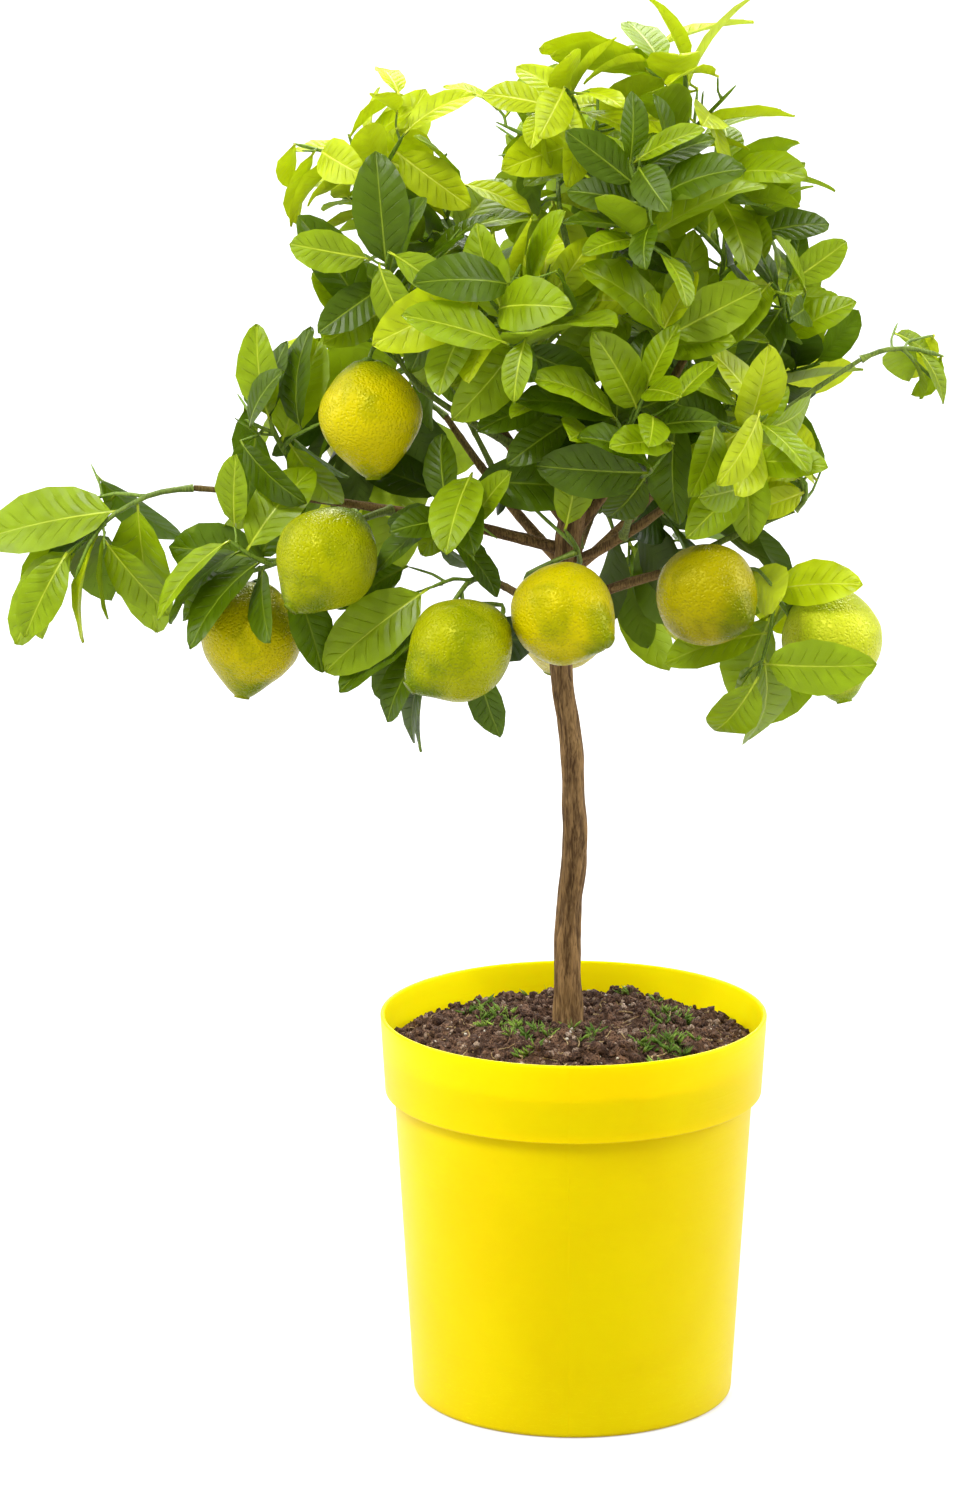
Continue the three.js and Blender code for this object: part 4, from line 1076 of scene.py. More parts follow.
# Over half the length of the longest straight stretch of a limb
FAR_STRETCH = 0.045


class Crown:
    """All limbs, masses and leaves, and the rule that keeps them clear of each other."""

    def __init__(self) -> None:
        """Grows the limbs and the stems, then lemons and twigs, then the leaves of the solids."""
        self.limbs = Limbs()
        self.masses = [Mass(plan, self.limbs.lines[plan.limb]) for plan in FOLIAGE]
        self.lemons = [lemon for mass in self.masses for lemon in mass.lemons]
        self.leaves: list[Leaf] = []
        self.cards: list[Card] = []
        self.hearts = np.zeros((0, 4))
        self.felt_shoots = -1
        self.box = np.array([[-np.inf] * 3, [np.inf] * 3])
        for mass in self.masses:
            mass.hang_lemons()
        for mass in self.masses:
            mass.grow_twigs(self)
        for mass in self.masses:
            mass.grow_leaves(self)
        log.info("leaves of the solids: %d on %d shoots", len(self.leaves), len(self.shoots()))

    def shoots(self) -> list[Shoot]:
        """Every shoot of every mass."""
        return [shoot for mass in self.masses for shoot in mass.shoots]

    def rods(self, but: Shoot | None = None) -> tuple[Array, Array, Array, Array]:
        """The stretches of all limbs and shoots but one: their starts, ends, radii and owners.

        The joined arrays are kept until a shoot is added.

        Args:
            but: The shoot that is left out.

        Returns:
            The four arrays, with one entry for each stretch.
        """
        count = sum(len(mass.shoots) for mass in self.masses)
        if count != self.felt_shoots:
            rods = self.limbs.rods + [shoot.rod for shoot in self.shoots()]
            self.felt_shoots = count
            columns = zip(*((rod.starts, rod.ends, rod.radii, [rod.owner] * len(rod.radii)) for rod in rods))
            self.felt = tuple(np.concatenate(column) for column in columns)
            self.felt_rods = np.concatenate([[id(rod)] * len(rod.radii) for rod in rods])
        if but is None:
            return self.felt
        return tuple(column[self.felt_rods != id(but.rod)] for column in self.felt)

    def in_lemon(self, points: Array) -> bool:
        """Whether any point comes too near a lemon."""
        return any(lemon.holds(points, ROOM_ROUND_LEMON) for lemon in self.lemons)

    def rod_is_free(self, rod: Rod) -> bool:
        """Whether a new twig keeps clear of all limbs, lemons and other masses' shoots.

        Args:
            rod: The twig as it is felt.

        Returns:
            True where it keeps clear.
        """
        starts, ends, radii, owners = self.rods()
        other = owners != rod.owner
        gap = between_segments(rod.starts[:, None], rod.ends[:, None], starts[None, other], ends[None, other])
        met = gap < rod.radii[:, None] + radii[None, other] + ROOM_ROUND_LIMB
        return not met.any() and not self.in_lemon(np.concatenate([rod.starts, rod.ends]))

    def card_is_free(self, card: Card, shoot: Shoot) -> bool:
        """Whether a new leaf keeps clear of all limbs, lemons, leaves and shoots but its own.

        Args:
            card: The leaf as it is felt.
            shoot: The shoot that bears it.

        Returns:
            True where it keeps clear.
        """
        if self.in_lemon(card.spots):
            return False
        starts, ends, radii, owners = self.rods(shoot)
        close = np.linalg.norm((starts + ends) / 2 - card.heart, axis=1) <= card.size + FAR_STRETCH
        starts, ends, radii, owners = starts[close], ends[close], radii[close], owners[close]
        room = radii + ROOM_ROUND_LIMB
        near = from_segment(card.heart, starts, ends) <= card.size + room
        for own in (True, False):
            pick = near & ((owners == card.owner) == own)
            if not pick.any():
                continue
            edges = card.felt_edges(card.owner if own else "")
            if pass_through(np.stack([starts[pick], ends[pick]], axis=1), card.faces):
                return False
            if (from_segment(card.spots[:, None], starts[pick], ends[pick]) < room[pick]).any():
                return False
            gap = between_segments(starts[pick], ends[pick], edges[:, None, 0], edges[:, None, 1])
            if (gap < room[pick]).any():
                return False
        return not self.card_crosses(card)

    def card_crosses(self, card: Card) -> bool:
        """Whether a leaf crosses any leaf that is kept.

        Args:
            card: The leaf as it is felt.

        Returns:
            True where it crosses one.
        """
        if not self.cards:
            return False
        gaps = np.linalg.norm(self.hearts[:, :3] - card.heart, axis=1)
        near = np.flatnonzero(gaps <= self.hearts[:, 3] + card.size)
        for own in (True, False):
            group = [self.cards[i] for i in near if (self.cards[i].owner == card.owner) == own]
            if not group:
                continue
            mine = card.felt_edges(card.owner if own else "")
            if pass_through(mine, np.concatenate([other.faces for other in group])):
                return True
            theirs = np.concatenate([other.felt_edges(card.owner) for other in group])
            if pass_through(theirs, card.faces):
                return True
        return False

    def keep_leaf(self, leaf: Leaf, mass: Mass, shoot: Shoot) -> bool:
        """Keeps a leaf that stays in its mass's space and is free, and says whether it did.

        Args:
            leaf: The leaf.
            mass: The mass that it belongs to.
            shoot: The shoot that bears it.

        Returns:
            True where it was kept.
        """
        card = leaf.card(mass.plan.name)
        tip = blade(leaf, np.array([1.0]), np.array([0.0]), 0.0)
        spots = np.concatenate([card.spots, tip])
        if (mass.depth(spots) >= 1).any() or in_sky_gap(spots) or not self.card_is_free(card, shoot):
            return False
        if (spots < self.box[0]).any() or (spots > self.box[1]).any():
            return False
        leaf.light = mass.light_at(card.heart, shoot)
        self.leaves.append(leaf)
        self.cards.append(card)
        self.hearts = np.vstack([self.hearts, [*card.heart, card.size]])
        return True

    def grow_finer(self) -> None:
        """Carries every mass on to finer sprigs and smaller leaves, within its space and the solids' box."""
        spots = np.concatenate([card.spots for card in self.cards])
        self.box = np.array([spots.min(0), spots.max(0)])
        for mass in self.masses:
            draw = SeededDraw(mass.plan.seed + SPRIG.seed_step)
            for shoot in mass.bearing():
                for _ in range(SPRIG.per_shoot):
                    self.grow_sprig(mass, shoot, draw)
                for i in range(SPRIG.extra_leaves):
                    along = draw.between(shoot.leafy * SPRIG.extra_from, LEAF.last)
                    size = LEAF.length * mass.plan.leaf * draw.between(*SPRIG.extra_leaf)
                    self.try_leaf(mass, shoot, draw, along, along, i * GOLDEN_ANGLE, size, SPRIG.tries)
        log.info("leaves with the finer growth: %d on %d shoots", len(self.leaves), len(self.shoots()))

    def try_leaf(
        self, mass: Mass, shoot: Shoot, draw: SeededDraw, along: float, share: float,
        angle: float, size: float, tries: int,
    ) -> bool:
        """Draws a leaf up to so many times, looser and smaller each time, until one finds room.

        Args:
            mass: The mass that the leaf belongs to.
            shoot: The shoot that bears it.
            draw: The random numbers that it draws from.
            along: The share of the way along the shoot at which it stands.
            share: How near it is to the last leaf, which stands out least, from 0 to 1.
            angle: The way that it points about the shoot.
            size: Its length at first, in metres.
            tries: How many times it is drawn at most.

        Returns:
            True where one found room.
        """
        for attempt in range(tries):
            looser = 1 + LEAF.looser * attempt / tries
            leaf = mass.leaf_on(draw, shoot, along, share, angle, looser, size * LEAF.shrink**attempt)
            if self.keep_leaf(leaf, mass, shoot):
                return True
        return False

    def grow_sprig(self, mass: Mass, shoot: Shoot, draw: SeededDraw) -> None:
        """Grows one side sprig with its leaves. A sprig on which no leaf finds room is left out.

        Args:
            mass: The mass that it belongs to.
            shoot: The shoot that bears it.
            draw: The random numbers that it draws from.
        """
        along = draw.between(*SPRIG.stretch)
        root = shoot.line.on_stretches(shoot.steps, along)
        tangent = shoot.line.heading(along)
        side, rise = across(tangent, shoot.line.chord())
        angle, lean = draw.between(0.0, FULL_TURN), draw.between(*SPRIG.lean)
        radial = swung(side, rise, angle)
        length = draw.between(*SPRIG.length)
        tip = root + swung(tangent, radial, lean) * length
        line = Bow(root, root + radial * SPRIG.bow * length, tip)
        rod = Rod.along(line, SPRIG.radii, SHOOT.steps, mass.plan.name)
        stretches = np.stack([rod.starts, rod.ends], axis=1)
        near = [card for card in self.cards if np.linalg.norm(card.heart - tip) < card.size + length]
        if near and pass_through(stretches, np.concatenate([card.faces for card in near])):
            return
        if not self.rod_is_free(rod):
            return
        light = shoot.light + mass.tones.between(*TONES.by_sprig)
        sprig = Shoot(line, SPRIG.radii, SHOOT.steps, SPRIG.leafy_from, rod, light)
        size = LEAF.length * mass.plan.leaf * draw.between(*SPRIG.leaf)
        kept = 0
        for i in range(SPRIG.leaves):
            share = i / (SPRIG.leaves - 1)
            along = lerp(SPRIG.leafy_from, LEAF.last, share)
            turn = angle + i * GOLDEN_ANGLE
            kept += self.try_leaf(mass, sprig, draw, along, share, turn, size, SPRIG.tries)
        if kept:
            mass.shoots.append(sprig)


# Surfaces


@dataclass
class Skin:
    """A surface before it becomes a mesh.

    Attributes:
        corners: Its corners, (N, 3).
        faces: Corner numbers, one array (F, k) for each count k of corners.
        marks: Values at the corners that the finishes read by name.
        creases: A number for each corner. An edge between two of the same number over 0 is sharp.
        slots: The finish of each face, one array for each array of faces.
    """

    corners: Array
    faces: list[Array]
    marks: dict[str, Array] = field(default_factory=dict)
    creases: Array | None = None
    slots: list[Array] | None = None

    def __post_init__(self) -> None:
        """Fills in no creases and the first finish."""
        if self.creases is None:
            self.creases = np.zeros(len(self.corners), int)
        if self.slots is None:
            self.slots = [np.zeros(len(group), int) for group in self.faces]


def joined(skins: list[Skin]) -> Skin:
    """One surface of several, with every mark that any has, and 0 where one lacks it.

    Args:
        skins: The surfaces.

    Returns:
        The one surface.
    """
    starts = np.cumsum([0] + [len(skin.corners) for skin in skins[:-1]])
    marks = {name: [] for skin in skins for name in skin.marks}
    for name, values in marks.items():
        values += [skin.marks.get(name, np.zeros(len(skin.corners))) for skin in skins]
    return Skin(
        np.concatenate([skin.corners for skin in skins]),
        [group + start for skin, start in zip(skins, starts) for group in skin.faces],
        {name: np.concatenate(values) for name, values in marks.items()},
        np.concatenate([skin.creases for skin in skins]),
        [slots for skin in skins for slots in skin.slots],
    )


def grid_faces(rows: int, columns: int, closed: bool) -> Array:
    """The four-cornered faces between rows of corners that run upwards and columns that run to the right.

    Args:
        rows: The count of rows.
        columns: The count of corners in a row.
        closed: Whether the last column joins the first.

    Returns:
        Corner numbers, (F, 4), of faces that look at the viewer.
    """
    steps = columns if closed else columns - 1
    row, column = np.meshgrid(np.arange(rows - 1), np.arange(steps), indexing="ij")
    here, right = row * columns + column, row * columns + (column + 1) % columns
    return np.stack([here, right, right + columns, here + columns], axis=-1).reshape(-1, 4)


def repeated(faces: Array, copies: int, corners: int) -> Array:
    """The same faces for each of several copies that have as many corners each."""
    return (faces[None] + (np.arange(copies) * corners)[:, None, None]).reshape(-1, faces.shape[1])


def capped(rows: int, around: int, copies: int, way: int) -> list[Array]:
    """The walls, feet and tips of several closed tubes whose corners run row by row.

    Args:
        rows: The count of rows from the foot to the tip.
        around: The count of corners in a row.
        copies: How many tubes there are.
        way: 1 where a row's corners run to the right as seen from outside, and -1 where they run to the left.

    Returns:
        Corner numbers for the walls, the feet and the tips.
    """
    walls = grid_faces(rows, around, True)[:, ::way]
    foot, tip = np.arange(around)[None, ::-way], (rows - 1) * around + np.arange(around)[None, ::way]
    return [repeated(faces, copies, rows * around) for faces in (walls, foot, tip)]


def tubes(places: Array, sides: Array, rises: Array, radii: Array, marks: dict[str, Array]) -> Skin:
    """Tubes about middle lines: corner = place + radius (side cos a + rise sin a), with flat ends.

    Args:
        places: Their middle lines, (N, K, 3).
        sides: The unit vectors across them at angle 0, (N, K, 3).
        rises: The unit vectors across them at a quarter turn, (N, K, 3).
        radii: The radius at each corner, (N, K, S).
        marks: Values at the corners, (N, K, S) each.

    Returns:
        All the tubes as one surface.
    """
    count, rows, around = radii.shape
    turn = ring_angles(around)
    ring = sides[..., None, :] * np.cos(turn)[:, None] + rises[..., None, :] * np.sin(turn)[:, None]
    corners = places[:, :, None] + ring * radii[..., None]
    creases = np.zeros((count, rows, around), int)
    creases[:, 0], creases[:, -1] = 1, 2
    flat = {name: values.reshape(-1) for name, values in marks.items()}
    return Skin(corners.reshape(-1, 3), capped(rows, around, count, -1), flat, creases.reshape(-1))


def turned(profile: Array, around: int, marks: dict[str, Array] | None = None) -> Skin:
    """A profile turned about Z: corner = (r cos a, r sin a, z). It has its outside on its right.

    Args:
        profile: Radius and height, (K, 2), from the axis at the foot back to the axis.
        around: The count of angles.
        marks: Values along the profile, (K,) each.

    Returns:
        The closed surface, with one corner at each end on the axis.
    """
    turn, rings = ring_angles(around), profile[1:-1]
    circle = np.stack([np.cos(turn), np.sin(turn)], axis=-1)
    heights = np.repeat(rings[:, None, 1:], around, axis=1)
    walls = np.concatenate([rings[:, None, :1] * circle, heights], axis=-1)
    ends = np.array([[0.0, 0.0, profile[0, 1]], [0.0, 0.0, profile[-1, 1]]])
    total, step = len(rings) * around, np.arange(around)
    after, top = (step + 1) % around, total - around
    foot = np.stack([np.full(around, total), after, step], axis=-1)
    head = np.stack([np.full(around, total + 1), top + step, top + after], axis=-1)
    faces = [grid_faces(len(rings), around, True), foot, head]
    spread = {
        name: np.append(np.repeat(row[1:-1], around), row[[0, -1]]) for name, row in (marks or {}).items()
    }
    return Skin(np.concatenate([walls.reshape(-1, 3), ends]), faces, spread)


def rounding(start: float, end: float, middle: Span, radius: float, count: int = 7) -> Array:
    """A round corner of a profile: an arc about a middle, by its first and last angle in degrees."""
    angles = np.radians(np.linspace(start, end, count))
    return np.column_stack([middle[0] + radius * np.cos(angles), middle[1] + radius * np.sin(angles)])


def fine(profile: Array, step: float) -> Array:
    """A profile with more places along its straight parts, no more than a step apart.

    Args:
        profile: Its places, one row each.
        step: The longest step, in metres.

    Returns:
        The profile with the places added.
    """
    rows = [profile[:1]]
    for low, high in zip(profile[:-1], profile[1:]):
        count = max(1, math.ceil(np.linalg.norm(high - low) / step))
        rows.append(lerp(low, high, np.arange(1, count + 1)[:, None] / count))
    return np.concatenate(rows)


def placed(skin: Skin, origin: Array, axis: Array) -> Skin:
    """The surface moved so that its Z axis runs along an axis through an origin.

    Args:
        skin: The surface.
        origin: Where its own origin comes to stand.
        axis: The way that its Z axis comes to point, of length 1.

    Returns:
        The same surface, moved.
    """
    side, _ = across(axis, axis)
    skin.corners = origin + skin.corners @ np.stack([side, np.cross(axis, side), axis])
    return skin


def add_piece(
    name: str, skin: Skin, finishes: list[bpy.types.Material], stands_for: list[str]
) -> bpy.types.Object:
    """Makes a piece of the plant from a surface.

    Args:
        name: The piece's name.
        skin: Its surface.
        finishes: Its materials, in the order that the faces' slots count.
        stands_for: The solids that it replaces.

    Returns:
        The new object, which rides on the pot.
    """
    mesh = bpy.data.meshes.new(name)
    counts = np.concatenate([np.full(len(group), group.shape[1]) for group in skin.faces])
    around = np.concatenate([group.ravel() for group in skin.faces])
    mesh.vertices.add(len(skin.corners))
    mesh.vertices.foreach_set("co", skin.corners.astype(np.float32).ravel())
    mesh.loops.add(len(around))
    mesh.loops.foreach_set("vertex_index", around.astype(np.int32))
    mesh.polygons.add(len(counts))
    mesh.polygons.foreach_set("loop_start", (np.cumsum(counts) - counts).astype(np.int32))
    mesh.polygons.foreach_set("material_index", np.concatenate(skin.slots).astype(np.int32))
    mesh.polygons.foreach_set("use_smooth", np.ones(len(counts), bool))
    mesh.update(calc_edges=True)
    ends = np.zeros(len(mesh.edges) * 2, np.int32)
    mesh.edges.foreach_get("vertices", ends)
    first, second = skin.creases[ends[::2]], skin.creases[ends[1::2]]
    sharp = mesh.attributes.new("sharp_edge", "BOOLEAN", "EDGE")
    sharp.data.foreach_set("value", (first > 0) & (first == second))
    for mark, values in skin.marks.items():
        mesh.attributes.new(mark, "FLOAT", "POINT").data.foreach_set("value", values.astype(np.float32))
    for finish in finishes:
        mesh.materials.append(finish)
    piece = bpy.data.objects.new(name, mesh)
    bpy.context.scene.collection.objects.link(piece)
    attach(piece, "root")
    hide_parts(*stands_for)
    log.info("%s: %d corners, %d triangles", name, len(skin.corners), int((counts - 2).sum()))
    return piece


# Finishes

Socket = bpy.types.NodeSocket
Value = float | Place | Colour | Socket
ORIGIN = (0.0, 0.0, 0.0)
WHITE = (1.0, 1.0, 1.0, 1.0)


def on_screen(red: int, green: int, blue: int) -> Colour:
    """The opaque linear colour that a screen shows as these three steps out of 255.

    Args:
        red: The step of red.
        green: The step of green.
        blue: The step of blue.

    Returns:
        The colour.
    """
    steps = np.array([red, green, blue]) / 255.0
    linear = np.where(steps <= 0.04045, steps / 12.92, ((steps + 0.055) / 1.055) ** 2.4)
    return (*(float(value) for value in linear), 1.0)


def toned(colour: Colour, factor: float) -> Colour:
    """A colour made darker or lighter."""
    return (*(min(1.0, value * factor) for value in colour[:3]), 1.0)


class Nodes:
    """The nodes of one tree, each added and linked in a line."""

    def __init__(self, tree: bpy.types.NodeTree) -> None:
        """Keeps the tree."""
        self.tree = tree

    def feed(self, node: bpy.types.Node, inputs: dict[str | int, Value]) -> bpy.types.Node:
        """Sets a node's inputs, named or counted, each to a value or to another node's output.

        Args:
            node: The node.
            inputs: What each of its inputs takes, by name or number.

        Returns:
            The node.
        """
        for key, value in inputs.items():
            if isinstance(value, Socket):
                self.tree.links.new(value, node.inputs[key])
            else:
                node.inputs[key].default_value = value
        return node

    def add(
        self, kind: str, inputs: dict[str | int, Value] | None = None, **settings: object
    ) -> bpy.types.Node:
        """Adds a node.

        Args:
            kind: Its type, without the word ShaderNode.
            inputs: Its inputs, as for feed.
            settings: Its own settings.

        Returns:
            The node.
        """
        node = self.tree.nodes.new("ShaderNode" + kind)
        for name, value in settings.items():
            setattr(node, name, value)
        return self.feed(node, inputs or {})

    def places(self, stretch: Place = (1.0, 1.0, 1.0)) -> Socket:
        """The piece's own coordinates, stretched along the axes."""
        source = self.add("TexCoord").outputs["Object"]
        return self.add("Mapping", {"Vector": source, "Scale": stretch}).outputs[0]

    def mark(self, name: str) -> Socket:
        """A value that the mesh holds at its corners."""
        return self.add("Attribute", attribute_name=name).outputs["Fac"]

    def noise(self, where: Value, scale: Value, detail: float = 4.0, distortion: float = 0.0) -> Socket:
        """A soft random value about 0.5."""
        inputs = {"Vector": where, "Scale": scale, "Detail": detail, "Distortion": distortion}
        return self.add("TexNoise", inputs).outputs[0]

    def sum(self, kind: str, first: Value, second: Value = 0.0) -> Socket:
        """A sum of the named kind on one or two values."""
        return self.add("Math", {0: first, 1: second}, operation=kind).outputs[0]

    def times(self, first: Value, second: Value) -> Socket:
        """One value times another."""
        return self.sum("MULTIPLY", first, second)

    def step(self, value: Value, start: Value, end: Value) -> Socket:
        """0 before start and 1 past end, and smooth between."""
        inputs = {"Value": value, "From Min": start, "From Max": end}
        return self.add("MapRange", inputs, interpolation_type="SMOOTHSTEP").outputs[0]

    def mix(self, share: Value, first: Value, second: Value) -> Socket:
        """The colour a share of the way from the first to the second."""
        inputs = {0: share, 6: first, 7: second}
        return self.add("Mix", inputs, data_type="RGBA", clamp_factor=True).outputs[2]

    def bump(self, height: Value, depth: Value, normal: Socket | None = None) -> Socket:
        """The normal of a surface raised by a height times a depth.

        Args:
            height: The height.
            depth: How high it stands at 1, in metres.
            normal: The normal of the surface that it stands on, or none for the plain one.

        Returns:
            The normal.
        """
        inputs = {"Height": height, "Distance": depth, "Strength": 1.0}
        if normal is not None:
            inputs["Normal"] = normal
        return self.add("Bump", inputs).outputs[0]


# The effects that several finishes share. Each takes the sockets of its group and gives what it puts out


def mottle(nodes: Nodes, given: bpy.types.NodeOutputs) -> dict[str, Socket]:
    """Two colours that change into each other in soft patches, with a finer pattern inside them.

    Args:
        nodes: The nodes of the group.
        given: What the group is given.

    Returns:
        What the group puts out, by name.
    """
    pattern = nodes.noise(given["Places"], given["Scale"], detail=6.0, distortion=0.6)
    mask = nodes.step(pattern, given["Start"], given["End"])
    return {"Color": nodes.mix(mask, given["First"], given["Second"]), "Mask": mask}


def grain(nodes: Nodes, given: bpy.types.NodeOutputs) -> dict[str, Socket]:
    """A fine relief: rounded pits between cells and a soft unevenness over them.

    Args:
        nodes: The nodes of the group.
        given: What the group is given.

    Returns:
        What the group puts out, by name.
    """
    where, scale = given["Places"], given["Scale"]
    cells = nodes.add("TexVoronoi", {"Vector": where, "Scale": scale}, feature="SMOOTH_F1").outputs
    pits = nodes.times(nodes.step(cells["Distance"], start=0.55, end=0.1), given["Pits"])
    uneven = nodes.noise(where, nodes.times(scale, 0.45), detail=3.0)
    return {"Height": nodes.sum("SUBTRACT", uneven, pits)}


def side_veins(nodes: Nodes, given: bpy.types.NodeOutputs) -> dict[str, Socket]:
    """A leaf's side veins: lines that slant forward from the midrib to the edge and fade out there.

    Args:
        nodes: The nodes of the group.
        given: What the group is given.

    Returns:
        What the group puts out, by name.
    """
    out = nodes.sum("ABSOLUTE", given["Across"])
    bent = nodes.times(nodes.sum("POWER", out, 0.8), given["Slant"])
    phase = nodes.times(nodes.sum("SUBTRACT", given["Along"], bent), given["Count"])
    wave = nodes.sum("PINGPONG", phase, 0.5)
    kept = nodes.times(nodes.step(wave, start=0.07, end=0.0), nodes.step(out, start=0.85, end=0.4))
    swell = nodes.times(nodes.sum("SUBTRACT", wave, kept), nodes.step(out, start=0.0, end=0.2))
    return {"Color": nodes.mix(nodes.times(kept, 0.16), given["Color"], given["Vein"]), "Height": swell}


def build_group(
    effect: Callable[[Nodes, bpy.types.NodeOutputs], dict[str, Socket]], inputs: dict[str, Value]
) -> bpy.types.NodeTree:
    """Builds the group of an effect.

    Args:
        effect: The function that adds its nodes.
        inputs: The usual value of each input. A number, a place or a colour tells the kind of socket.

    Returns:
        The group.
    """
    tree = bpy.data.node_groups.new(effect.__name__, "ShaderNodeTree")
    kinds = {1: "Float", 3: "Vector", 4: "Color", "VALUE": "Float", "VECTOR": "Vector", "RGBA": "Color"}
    for key, value in inputs.items():
        kind = "NodeSocket" + kinds[np.size(value)]
        socket = tree.interface.new_socket(key, in_out="INPUT", socket_type=kind)
        socket.default_value = value
    nodes = Nodes(tree)
    made = effect(nodes, tree.nodes.new("NodeGroupInput").outputs)
    for key, output in made.items():
        tree.interface.new_socket(key, in_out="OUTPUT", socket_type="NodeSocket" + kinds[output.type])
    nodes.feed(tree.nodes.new("NodeGroupOutput"), made)
    return tree


GREY = (0.5, 0.5, 0.5, 1.0)
MOTTLE = build_group(
    mottle, {"Places": ORIGIN, "Scale": 30.0, "First": GREY, "Second": GREY, "Start": 0.35, "End": 0.65}
)
GRAIN = build_group(grain, {"Places": ORIGIN, "Scale": 800.0, "Pits": 0.5})
SIDE_VEINS = build_group(
    side_veins, {"Along": 0.5, "Across": 0.0, "Count": 9.0, "Slant": 0.16, "Color": GREY, "Vein": GREY}
)


class Paint(Nodes):
    """The nodes of one material, with its surface shader and the shared effects at hand."""

    def __init__(self, name: str) -> None:
        """Starts the material.

        Args:
            name: The material's name.
        """
        self.material = bpy.data.materials.new(name)
        self.material.use_nodes = True
        super().__init__(self.material.node_tree)
        self.tree.nodes.clear()
        self.shader = self.add("BsdfPrincipled")
        self.output = self.add("OutputMaterial", {"Surface": self.shader.outputs[0]})

    def mottled(
        self, places: Socket, scale: float, first: Value, second: Value,
        start: float = 0.35, end: float = 0.65,
    ) -> bpy.types.NodeOutputs:
        """The outputs of the mottle: two colours in patches, and the mask.

        Args:
            places: Where on the piece the pattern is read.
            scale: How many patches there are in a metre, or about so many.
            first: The colour where the pattern is low.
            second: The colour where it is high.
            start: The pattern's value at which the first colour ends.
            end: The value at which the second is full.

        Returns:
            The outputs.
        """
        inputs = {"Places": places, "Scale": scale, "First": first, "Second": second}
        return self.add("Group", {**inputs, "Start": start, "End": end}, node_tree=MOTTLE).outputs

    def grained(
        self, places: Socket, scale: float, pits: float, depth: float, normal: Socket | None = None
    ) -> tuple[Socket, Socket]:
        """The normal of a fine grain of some depth over another normal, and the grain's height.

        Args:
            places: Where on the piece the pattern is read.
            scale: How many cells there are in a metre.
            pits: How much of the relief is pits.
            depth: How high it stands, in metres.
            normal: The normal of the surface that it stands on, or none for the plain one.

        Returns:
            The normal and the height.
        """
        inputs = {"Places": places, "Scale": scale, "Pits": pits}
        height = self.add("Group", inputs, node_tree=GRAIN).outputs["Height"]
        return self.bump(height, depth, normal), height

    def surface(
        self, colour: Value, roughness: Value, normal: Socket | None, gloss: float, **more: Value
    ) -> bpy.types.Material:
        """Sets the surface shader.

        Args:
            colour: Its colour.
            roughness: Its roughness.
            normal: Its normal, where it has a relief.
            gloss: How much it mirrors.
            more: Its other inputs, with _ for a space.

        Returns:
            The material.
        """
        inputs = {"Base Color": colour, "Roughness": roughness, "Specular IOR Level": gloss}
        if normal is not None:
            inputs["Normal"] = normal
        inputs.update({key.replace("_", " "): value for key, value in more.items()})
        self.feed(self.shader, inputs)
        return self.material


